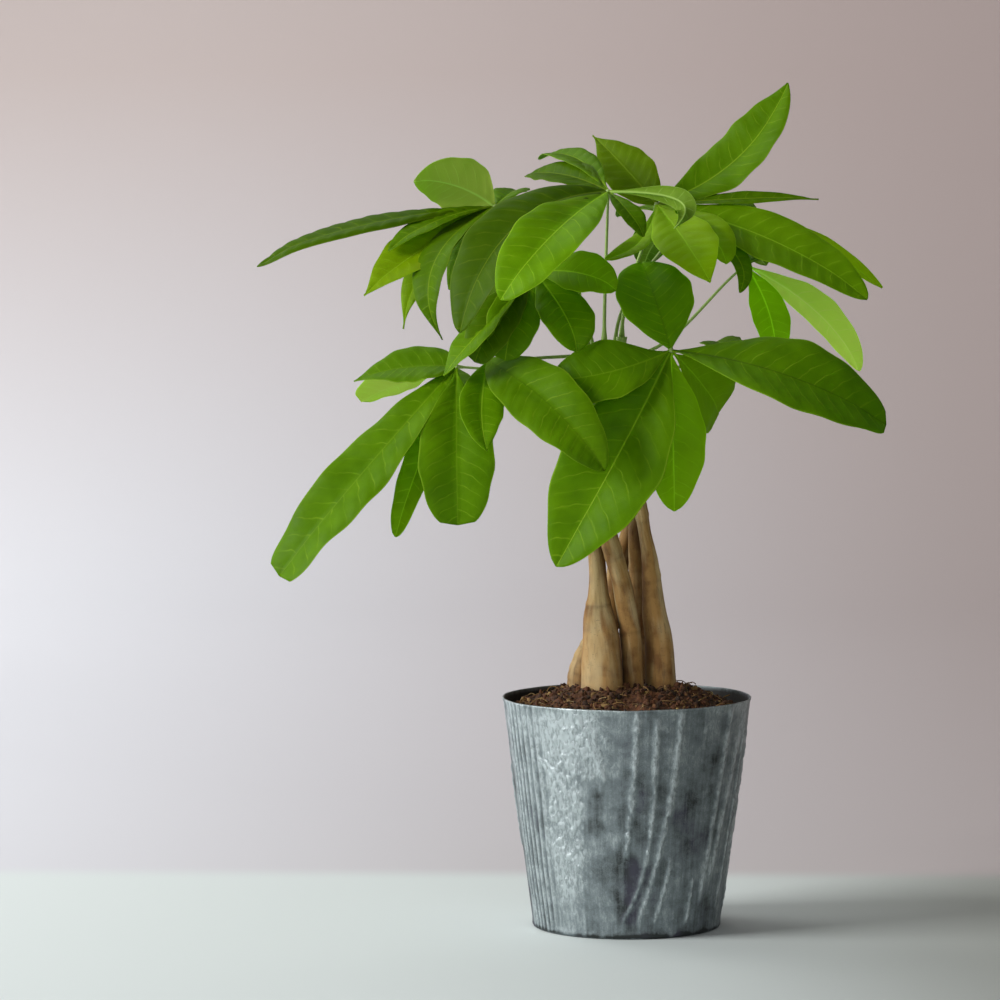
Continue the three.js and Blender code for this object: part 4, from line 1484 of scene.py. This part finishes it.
@dataclass(frozen=True)
class Leaf:
    """A palmate leaf: a petiole that leaves a shoot, a hub, and leaflets round it."""

    name: str
    shoot: Shoot
    start: float | None
    hub: Triple
    leaflets: tuple[Leaflet, ...]
    foot_radius: float = 1.0
    tip_radius: float = 0.65
    joint_radius: float = 1.4
    gap: float = 0.3

    def petiole(self) -> np.ndarray:
        """Curves the petiole from its shoot's top, or its side at the start height, into the hub.

        Returns:
            Points along it, from the foot on.
        """
        hub = np.array(self.hub, float)
        corners = self.shoot.corners()
        if self.start is None:
            foot, direction = corners[-1] + [0, 0, self.gap], np.array([0.0, 0.0, 1.0])
        else:
            share = (self.start - corners[0][2]) / (corners[-1][2] - corners[0][2])
            foot = bezier(corners, np.array([share]))[0]
            direction = unit((hub - foot) * [1, 1, 0])
            reach = self.shoot.foot_radius + (self.shoot.tip_radius - self.shoot.foot_radius) * share
            foot = foot + direction * (reach - 0.6)
        third = np.linalg.norm(hub - foot) / 3
        arrival = unit(hub - foot)
        curve = [foot, foot + direction * third, hub - arrival * third, hub]
        return np.vstack([bezier(curve, np.linspace(0, 1, 30)), hub + arrival * 0.8])

    def build(self, tree: NodeTree, finishes: list[Material]) -> Object:
        """Builds the petiole, the hub and the leaflets as one piece.

        Args:
            tree: The stalk tree.
            finishes: The leaf's materials, in the order of Skin.

        Returns:
            The leaf.
        """
        draft = Draft()
        hub = np.array(self.hub, float)
        for i, leaflet in enumerate(self.leaflets):
            leaflet.add_to(draft, hub, i + len(self.name))
        stalk = Stalk(self.petiole(), self.foot_radius, self.tip_radius, 0.7)
        stalk.add_to(draft, tree, finishes[Skin.STALK], int(Skin.STALK))
        self.add_hub(draft, hub)
        return draft.piece(self.name, finishes)

    def add_hub(self, draft: Draft, hub: np.ndarray) -> None:
        """Adds the small swollen joint that the leaflets spring from.

        Args:
            draft: The leaf so far.
            hub: The joint's middle.
        """
        rows, columns = 8, 14
        polar = np.linspace(0.15, np.pi - 0.15, rows)[:, None]
        round_part = np.linspace(0, 2 * np.pi, columns, endpoint=False)[None]
        flat = np.sin(polar)
        ball = vectors(flat * np.cos(round_part), flat * np.sin(round_part), -np.cos(polar))
        points = np.vstack([ball.reshape(-1, 3), [[0, 0, -1], [0, 0, 1]]])
        points = hub + points * self.joint_radius * (1 + 0.1 * noise(points * 2.5, 1, 61))[:, None]
        draft.add(points, tube_faces(rows, columns), int(Skin.STALK))


# ---------------- this plant


TRUNKS = (
    Trunk("trunk_left_front", (
        (-12, -13, 90, 6), (-12.4, -14, 116, 10.4), (-12.5, -14, 128, 10.9), (-13.6, -12.8, 152, 9.3),
        (-14.8, -11.6, 163, 7.9), (-14.9, -10.6, 174, 5.3), (-15.3, -9.2, 186, 4.5),
        (-16.8, -6.2, 204, 3.9), (-17.5, 0, 232, 3.9), (-16.4, 6.1, 262, 3.9), (-16.4, 6.1, 272, 3.9),
    ), rings=(169, 222), seed=1),
    Trunk("trunk_front", (
        (4, -8, 90, 4), (4, -8.5, 116, 5.4), (3.6, -9, 130, 5.4), (2.1, -10.8, 152, 5.5),
        (-0.5, -12, 168, 5.3), (-3.5, -13, 183, 4.8), (-6.7, -13.6, 194, 4.9), (-9.8, -13.8, 205, 4.7),
        (-16, -10, 235, 4.2), (-19.1, -2.3, 262, 4), (-19.1, -2.3, 272, 3.9),
    ), rings=(154, 194, 230), seed=2),
    Trunk("trunk_right_front", (
        (18, -2, 90, 5), (18.2, -3, 116, 8), (17.9, -3, 133, 8), (16.4, -4, 152, 7.2),
        (14.4, -4.6, 163, 6.6), (12.8, -5.4, 178, 5.3), (11.2, -6.4, 194, 4.2), (9.2, -7.6, 206, 3.2),
        (5.5, -10, 225, 3.5), (-4, -10.5, 246, 3.8), (-12, -7.5, 264, 3.9), (-12, -7.5, 272, 3.8),
    ), rings=(182, 213), seed=3),
    Trunk("trunk_left_back", (
        (-23.8, 4, 90, 5), (-24.2, 4, 116, 6.9), (-24, 4.5, 132, 6.3), (-17.5, 7.5, 147, 5.6),
        (-8.6, 10.5, 159, 6), (-6.3, 11.5, 174, 5.5), (-5, 11.8, 187, 5.5), (0.4, 11.8, 202, 4.6),
        (2.5, 10.5, 217, 4.2), (-1, 8.5, 244, 4), (-7.6, 6.1, 264, 3.8), (-7.6, 6.1, 272, 3.8),
    ), rings=(127, 132, 138, 144, 176, 224), seed=4),
    Trunk("trunk_right_back", (
        (3.5, 17, 90, 5), (3.5, 17, 116, 8), (3.5, 16.6, 128, 8.2), (3.2, 16.3, 148, 7.6),
        (3.6, 15.2, 157, 7.1), (5, 10.8, 168, 5.6), (5.4, 5.6, 184, 4.8), (4.6, 2.4, 200, 4.2),
        (4.4, -0.2, 226, 3.9), (-1, -2, 248, 3.9), (-4.9, -2.3, 264, 3.8), (-4.9, -2.3, 272, 3.8),
    ), rings=(152, 186, 218), seed=5),
)

BACK_LEFT, LEFT, FRONT, BACK_RIGHT, RIGHT = (
    Shoot("shoot_back_left", TRUNKS[0], (-18, 7.5, 297)),
    Shoot("shoot_left", TRUNKS[1], (-21, -2.5, 303)),
    Shoot("shoot_front", TRUNKS[2], (-12, -9, 305)),
    Shoot("shoot_back_right", TRUNKS[3], (-6.5, 7.5, 300)),
    Shoot("shoot_right", TRUNKS[4], (-3, -2.5, 307)),
)

LEAVES = (
    Leaf("leaf_front_right", FRONT, 290, (22, -62, 303), (
        Leaflet((7, -22, 348), 39, (0, -8, 2), (0, -0.75, 0.65), peak=1.1, taper=0.95, point=0.5,
                wave=0.3, tone_and_painted_light=0.7, rib=-0.25),
        Leaflet((131, -75, 267), 49, (2, -14, 7), (0.25, -0.65, 0.72), peak=1.2, point=0.38, wave=0.5,
                tone_and_painted_light=0.2, rib=-0.5),
        Leaflet((-36, -92, 196), 54, (3, -7, 3), (-0.1, -0.85, 0.5), point=0.65, wave=0.5, tone_and_painted_light=0.2,
                rib=0.9),
        Leaflet((24, -80, 223), 33, (0, -1, 0), (0.15, -0.9, 0.35), tone_and_painted_light=1, young=0.35),
        Leaflet((-41, -66, 288), 37, (0, -9, -3), (-0.1, -0.8, 0.55), tone_and_painted_light=0.15, rib=0.4),
        Leaflet((48, -36, 270), 42, (2, 0, 0), (0.3, -0.8, 0.5), peak=1.6, point=0.12, tone_and_painted_light=0.3,
                young=0.5),
    )),
    Leaf("leaf_front_left", LEFT, 298, (-71, -45, 297), (
        Leaflet((-11, -106, 245), 35, (3, -14, 5), (-0.1, -0.85, 0.5), peak=0.85, taper=0.7, rib=-0.2),
        Leaflet((-70, -88, 254), 23, (-3, -8, -2), (0.1, -0.9, 0.4), peak=0.9, point=0.9, tone_and_painted_light=0.3),
        Leaflet((-46, -4, 276), 20, (0, 2, -2), (-0.3, 0.2, 0.9)),
        Leaflet((-32, -26, 270), 22, (2, 2, 0), (0.3, 0.3, 0.9)),
    )),
    Leaf("leaf_left_low", LEFT, 288, (-88, -22, 293), (
        Leaflet((-178, -56, 188), 34, (1, -8, 3), (-0.35, -0.75, 0.55), peak=1.25, taper=0.7, point=0.2,
                wave=1.6, rib=0.3),
        Leaflet((-119, -46, 207), 17, (-2, -5, -3), (-0.3, -0.9, 0.3), point=0.5, tone_and_painted_light=0.6, young=0.2),
        Leaflet((-86, -60, 214), 39, (0, -9, 0), (0, -0.95, 0.3), peak=1.25, point=0.28, tone_and_painted_light=0.1,
                rib=0.3),
        Leaflet((-142, -12, 286), 27, (1, 0, 3), (-0.3, -0.6, 0.75), peak=0.75, taper=0.7, point=1.1,
                tone_and_painted_light=-0.1, rib=0.2),
        Leaflet((-140, 24, 274), 30, (0, 6, 1), (-0.3, 0.5, 0.8), peak=2, point=0.35, tone_and_painted_light=0.4, young=1.0,
                rib=0.2),
        Leaflet((-87, 44, 247), 26, (-2, 8, 6), (0, 0.7, 0.6)),
    )),
    Leaf("leaf_left_inner", FRONT, 296, (-48, -40, 342), (
        Leaflet((-5, -58, 334), 27, (2, -5, 4), (0.2, -0.8, 0.6), tone_and_painted_light=0.9, young=0.2),
        Leaflet((-25, -72, 303), 29, (4, -6, 0), (0.3, -0.85, 0.4), tone_and_painted_light=0.4),
        Leaflet((-62, -64, 298), 27, (-2, -6, 0), (0, -0.9, 0.4), point=0.42, tone_and_painted_light=0.3),
        Leaflet((-94, -64, 291), 25, (-1, -8, -1), (-0.7, -0.5, 0.45), point=0.9, tone_and_painted_light=0.1),
        Leaflet((-77, 10, 347), 22, (0, 1, 4), (-0.3, 0.1, 0.9)),
        Leaflet((-78, -62, 297), 26, (-3, -8, -1), (-0.2, -0.8, 0.5), point=0.4, tone_and_painted_light=-0.4),
    )),
    Leaf("leaf_left_top", LEFT, None, (-69, 5, 375), (
        Leaflet((-111, -8, 389), 33, (1, 2, 4), (-0.1, 0.85, 0.5), peak=0.9, point=0.7, tone_and_painted_light=0.25,
                young=0.75),
        Leaflet((-192, -24, 348), 22, (-2, -4, 5), (-0.2, -0.35, 0.93), wave=0.4, curl=4, arch=0.3,
                tone_and_painted_light=-0.7),
        Leaflet((-123, -30, 354), 17, (-1, 0, 4), (-0.3, -0.5, 0.8), tone_and_painted_light=-0.1),
        Leaflet((-135, -40, 331), 30, (-3, -5, 1), (-0.4, -0.75, 0.5), point=1.2, tone_and_painted_light=-0.1, young=0.6),
        Leaflet((-116, -26, 313), 20, (-9, -2, 4), (-0.5, -0.75, 0.4), point=1.8, tone_and_painted_light=0, young=0.4),
        Leaflet((-95, -46, 307), 24, (-17, -20, 5), (-0.6, -0.7, 0.3), peak=0.8, taper=0.7, point=1.3,
                tone_and_painted_light=-0.4),
        Leaflet((-94, 8, 332), 14, (-2, 0, 6), (-0.5, -0.5, 0.3)),
        Leaflet((-58, 60, 383), 18, (2, 0, 3), (0, -0.1, 0.95)),
    )),
    Leaf("leaf_crown_front", FRONT, None, (-10, -35, 383), (
        Leaflet((-85, -84, 313), 38, (-10, -7, 17), (-0.42, -0.7, 0.55), taper=0.7, tone_and_painted_light=-0.8),
        Leaflet((-64, -98, 330), 38, (0, -17, 6), (-0.28, -0.84, 0.48), taper=0.8, tone_and_painted_light=0.6, young=0.05),
        Leaflet((23, -66, 365), 13, (19, -6, 5), (0, 0.9, 0.35), point=1.2, curl=1, tone_and_painted_light=0.3),
        Leaflet((9, -60, 361), 14, (0, -6, 2), (0.4, -0.75, 0.5)),
        Leaflet((-54, 10, 392), 25, (0, -2, 4), (-0.2, -0.4, 0.9), point=1, tone_and_painted_light=-0.6),
        Leaflet((-47, 34, 401), 18, (2, 0, 8), (-0.1, -0.25, 0.95)),
    )),
    Leaf("leaf_crown_right", RIGHT, None, (15, 15, 376), (
        Leaflet((83, 34, 440), 34, (9, 0, -7), (-0.45, -0.75, 0.5), peak=1.05, taper=1, point=0.8,
                wave=1.6),
        Leaflet((99, 6, 380), 10, (-1, -2, 1), (0, -0.6, 0.8), point=1.2, tone_and_painted_light=-0.3),
        Leaflet((123, -30, 329), 33, (4, -2, 6), (0.2, -0.75, 0.62), tone_and_painted_light=0.4, young=0.15),
        Leaflet((133, 10, 334), 20, (4, 6, 8), (0.2, -0.5, 0.8), tone_and_painted_light=0.5, young=0.9),
        Leaflet((51, -32, 347), 24, (6, -6, 2), (0.3, -0.8, 0.5), tone_and_painted_light=0.6, young=0.4),
        Leaflet((42, -50, 338), 32, (0, -8, 2), (0.1, -0.9, 0.4), point=1, tone_and_painted_light=0.7, young=0.7),
        Leaflet((58, -30, 332), 12, (16, -4, 0), (0.4, -0.8, 0.4)),
        Leaflet((-19, 50, 413), 27, (1, -2, 0), (-0.3, -0.7, 0.65), peak=0.85, taper=0.8, point=1.4,
                tone_and_painted_light=-0.5, young=0.3),
        Leaflet((-11, -42, 350), 13, (4, -6, -6), (-0.3, -0.8, 0.5), tone_and_painted_light=0.4, young=0.4),
    )),
    Leaf("leaf_right_inner", RIGHT, 298, (61, -5, 345), (
        Leaflet((76, -26, 298), 20, (4, -4, 0), (0.2, -0.9, 0.3), tone_and_painted_light=1.6, young=0.3),
        Leaflet((122, 14, 290), 24, (6, 4, 4), (0.4, 0.7, 0.6), tone_and_painted_light=1.4, young=0.8),
        Leaflet((120, 76, 343), 26, (0, 6, 9), (0.2, 0.1, 0.95)),
        Leaflet((77, 90, 346), 24, (4, 4, 4), (0.1, 0.2, 0.95)),
    )),
    Leaf("leaf_back_right_high", BACK_RIGHT, None, (28, 72, 366), (
        Leaflet((8, 118, 342), 26, (-1, 8, 4), (-0.2, 0.8, 0.5)),
        Leaflet((38, 148, 340), 31, (1, 9, 7), (0, 0.85, 0.5)),
        Leaflet((76, 130, 343), 27, (2, 7, 5), (0.3, 0.75, 0.6)),
        Leaflet((70, 96, 372), 24, (1, 2, 5), (0.2, 0.2, 0.9)),
        Leaflet((-6, 110, 370), 22, (0, 2, 5), (-0.2, 0.2, 0.9)),
    )),
    Leaf("leaf_back_left_high", BACK_LEFT, None, (-57, 70, 358), (
        Leaflet((-90, 108, 316), 26, (-2, 9, 6), (-0.4, 0.75, 0.5)),
        Leaflet((-63, 136, 296), 32, (-2, 14, 8), (0, 0.85, 0.5)),
        Leaflet((-31, 124, 310), 28, (2, 10, 5), (0.3, 0.75, 0.6)),
        Leaflet((-38, 104, 346), 22, (2, 4, 3), (0.3, 0.2, 0.9)),
        Leaflet((-58, 150, 366), 26, (-1, 2, 9), (0, 0.2, 0.95)),
        Leaflet((-96, 104, 356), 22, (0, 1, 5), (-0.3, 0.2, 0.9)),
    )),
    Leaf("leaf_back_right_low", BACK_RIGHT, 290, (57, 50, 292), (
        Leaflet((34, 94, 280), 26, (0, 7, 4), (-0.2, 0.8, 0.5)),
        Leaflet((68, 122, 292), 31, (1, 6, 6), (0.1, 0.85, 0.5)),
        Leaflet((106, 98, 290), 30, (1, 6, 5), (0.4, 0.6, 0.6)),
        Leaflet((100, 64, 290), 24, (0, 4, 5), (0.3, 0.2, 0.9)),
        Leaflet((46, 104, 300), 22, (-1, 2, 5), (-0.2, 0.3, 0.9)),
    )),
    Leaf("leaf_back_left_low", BACK_LEFT, 288, (-91, 46, 274), (
        Leaflet((-126, 86, 244), 26, (-2, 8, 5), (-0.4, 0.75, 0.5)),
        Leaflet((-102, 102, 214), 32, (-2, 12, 5), (-0.1, 0.85, 0.5)),
        Leaflet((-86, 78, 216), 22, (2, 12, 2), (0.3, 0.75, 0.5)),
        Leaflet((-76, 96, 260), 22, (0, 6, 4), (0.3, 0.3, 0.9)),
        Leaflet((-112, 112, 268), 22, (0, 5, 4), (-0.3, 0.3, 0.9)),
    )),
    Leaf("leaf_back_low", BACK_RIGHT, 280, (-9, 66, 275), (
        Leaflet((-34, 104, 238), 26, (0, 8, 5), (-0.4, 0.75, 0.5)),
        Leaflet((-3, 114, 212), 32, (0, 13, 4), (0, 0.9, 0.4)),
        Leaflet((24, 106, 236), 27, (1, 9, 5), (0.4, 0.75, 0.5)),
        Leaflet((18, 128, 266), 24, (2, 2, 5), (0.2, 0.3, 0.9)),
        Leaflet((-36, 128, 268), 22, (0, 2, 5), (-0.2, 0.3, 0.9)),
    )),
)

UPPER_SKIN = LeafFinish(
    "leaf_upper_side", deep="#4F7700", fresh="#688F02", young="#93AC0A", vein="#9CB62C", glow="#D8F000",
    roughness=0.46, gloss=0.09, rib_width=0.85, rib_strength=0.7, vein_width=0.075, vein_strength=0.36,
    vein_height=-0.5, through=0.3,
)
UNDER_SKIN = LeafFinish(
    "leaf_underside", deep="#648320", fresh="#7C9830", young="#ACB455", vein="#B2C870", glow="#D8F000",
    roughness=0.58, gloss=0.08, rib_width=1.1, rib_strength=0.9, vein_width=0.08, vein_strength=0.4,
    vein_height=0.7, through=0.3,
)
YOUNG_STEM = StalkFinish("young_green_stem", pale="#B4CC7A", green="#86A64A")
SOIL = SoilFinish("peaty_potting_mix", dark="#2A1A0F", rusty="#6A4024", straw="#A98B54")
FIBRE = SoilFinish("dry_root_fibre", dark="#5E4424", rusty="#9A7844", straw="#C9B483", patch=3.0)


# ---------------- the studio


@dataclass(frozen=True)
class SoftLight:
    """A square soft box and the point that it is turned to, in metres and watts."""

    name: str
    place: Triple
    size: float
    power: float
    aim: Triple = (0.0, 0.0, 0.25)

    def build(self) -> None:
        """Hangs the light and turns it towards its aim."""
        lamp = bpy.data.lights.new(self.name, "AREA")
        lamp.size = self.size
        lamp.energy = self.power
        holder = placed(self.name, lamp)
        holder.location = self.place
        towards = Vector(self.aim) - Vector(self.place)
        holder.rotation_euler = towards.to_track_quat("-Z", "Y").to_euler()


@dataclass(frozen=True)
class Studio:
    """A pale sweep, soft lights and the camera. Sizes are in metres, but the lens's in millimetres."""

    camera_place: Triple = (0.0, -2.445, 0.398)
    pitch: float = -4.1
    yaw: float = 1.55
    lens: float = 169.6
    sensor_width: float = 36.0
    half_width: float = 7.0
    bend_start: float = 1.7
    bend_radius: float = 1.7
    wall_top: float = 4.0
    front: float = -8.0
    sky: str = "#E4E2E6"
    sky_strength: float = 0.2
    lights: tuple[SoftLight, ...] = (
        SoftLight("key_light", (-1.65, -0.6, 1.0), 0.9, 36.0),
        SoftLight("fill_light", (0.4, -2.6, 0.8), 1.6, 8.0),
        SoftLight("top_light", (-0.6, 0.9, 1.9), 1.2, 8.0),
        SoftLight("floor_light", (-1.1, 0.75, 0.75), 0.9, 6.5, aim=(-0.45, 0.9, 0.0)),
        SoftLight("wall_light", (-1.5, 1.6, 0.6), 0.9, 16.0, aim=(-0.5, 3.1, 0.1)),
        SoftLight("backdrop_light", (0.2, 2.0, 1.9), 1.0, 9.5, aim=(0.1, 3.2, 0.4)),
        SoftLight("front_floor_light", (0.0, -3.2, 1.5), 1.6, 22.0, aim=(0.0, -4.4, 0.0)),
    )

    def build(self) -> None:
        """Builds the sweep, the lights, the sky and the camera."""
        self.build_sweep()
        for light in self.lights:
            light.build()
        world = bpy.data.worlds.new("soft_sky")
        world.use_nodes = True
        sky = world.node_tree.nodes["Background"]
        sky.inputs["Color"].default_value = linear(self.sky)
        sky.inputs["Strength"].default_value = self.sky_strength
        bpy.context.scene.world = world
        bpy.context.scene.view_settings.view_transform = "Standard"
        lens = bpy.data.cameras.new("camera")
        lens.lens = self.lens
        lens.sensor_width = self.sensor_width
        holder = placed("camera", lens)
        holder.location = self.camera_place
        holder.rotation_euler = (math.radians(90 + self.pitch), 0.0, math.radians(self.yaw))
        bpy.context.scene.camera = holder

    def build_sweep(self) -> None:
        """Builds the floor, which bends up into the wall behind."""
        bend = np.linspace(0, np.pi / 2, 25)
        depth = np.concatenate([
            [self.front], self.bend_start + self.bend_radius * np.sin(bend),
            [self.bend_start + self.bend_radius],
        ])
        rise = np.concatenate([[0.0], self.bend_radius * (1 - np.cos(bend)), [self.wall_top]])
        sides = np.array([-self.half_width, self.half_width])
        points = np.array([[x, y, z] for y, z in zip(depth, rise) for x in sides])
        mesh = bpy.data.meshes.new("floor")
        mesh.from_pydata(points, [], grid_faces(len(depth), 2, False))
        mesh.shade_smooth()
        mesh.materials.append(self.paper())
        floor = placed("floor", mesh)

    def paper(self) -> Material:
        """Builds the matt paper: pale on the floor, then greyer up the wall and to the right.

        Returns:
            The material.
        """
        made, tree = blank_material("pale_paper_sweep")
        place = add(tree, "TexCoord").outputs["Object"]
        aside, behind, up = add(tree, "SeparateXYZ", inputs=[place]).outputs
        # Each colour fades to the right into painted shade; on the floor it is a painted shadow of the
        # pot.
        floor, low, high = [
            add(tree, "Mix", COLOURS, [add(tree, "MapRange", EASED, [aside, *span]), left, right])
            for span, left, right in (
                ((0.0, 0.26), "#D6DEDC", "#A4A7A0"), ((-0.54, 0.48), "#D6D8DD", "#B4A8A5"),
                ((-0.7, 0.51), "#C9BDB9", "#B4A5A1"),
            )
        ]
        climb = add(tree, "MapRange", inputs=[up, 0.0, 0.5])
        wall = add(tree, "Mix", COLOURS, [climb, low, high])
        past = add(tree, "MapRange", EASED, [behind, 0.15, 0.2])
        colour = add(tree, "Mix", COLOURS, [past, floor, wall])
        skin = add(tree, "BsdfPrincipled", inputs={"Base Color": colour, "Roughness": 0.9})
        add(tree, "OutputMaterial", inputs=[skin])
        return made


def main() -> None:
    """Builds every piece in order."""
    logging.basicConfig(level=logging.INFO, format="%(message)s")
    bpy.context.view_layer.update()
    Studio().build()
    log.info("studio ready")
    settle(ZincPot().build(ZincFinish().material()), Slot.ZINC, "pot")
    mound, crumbs, fibres = PottingMix().build(SOIL.material(), FIBRE.material())
    settle(mound, Slot.SOIL, "soil")
    settle(crumbs, Slot.SOIL)
    settle(fibres, Slot.SOIL)
    bark = BarkFinish().material()
    for trunk in TRUNKS:
        settle(trunk.build(bark, TRUNKS), Slot.BARK, trunk.name)
    stem = YOUNG_STEM.material()
    stalks = Stalk.tree()
    for shoot in (BACK_LEFT, LEFT, FRONT, BACK_RIGHT, RIGHT):
        settle(shoot.build(stalks, stem), Slot.STEM, shoot.name)
    skins = [UPPER_SKIN.material(), UNDER_SKIN.material(), stem]
    for leaf in LEAVES:
        settle(leaf.build(stalks, skins), Slot.LEAF, leaf.name)


if __name__ == "__main__":
    main()
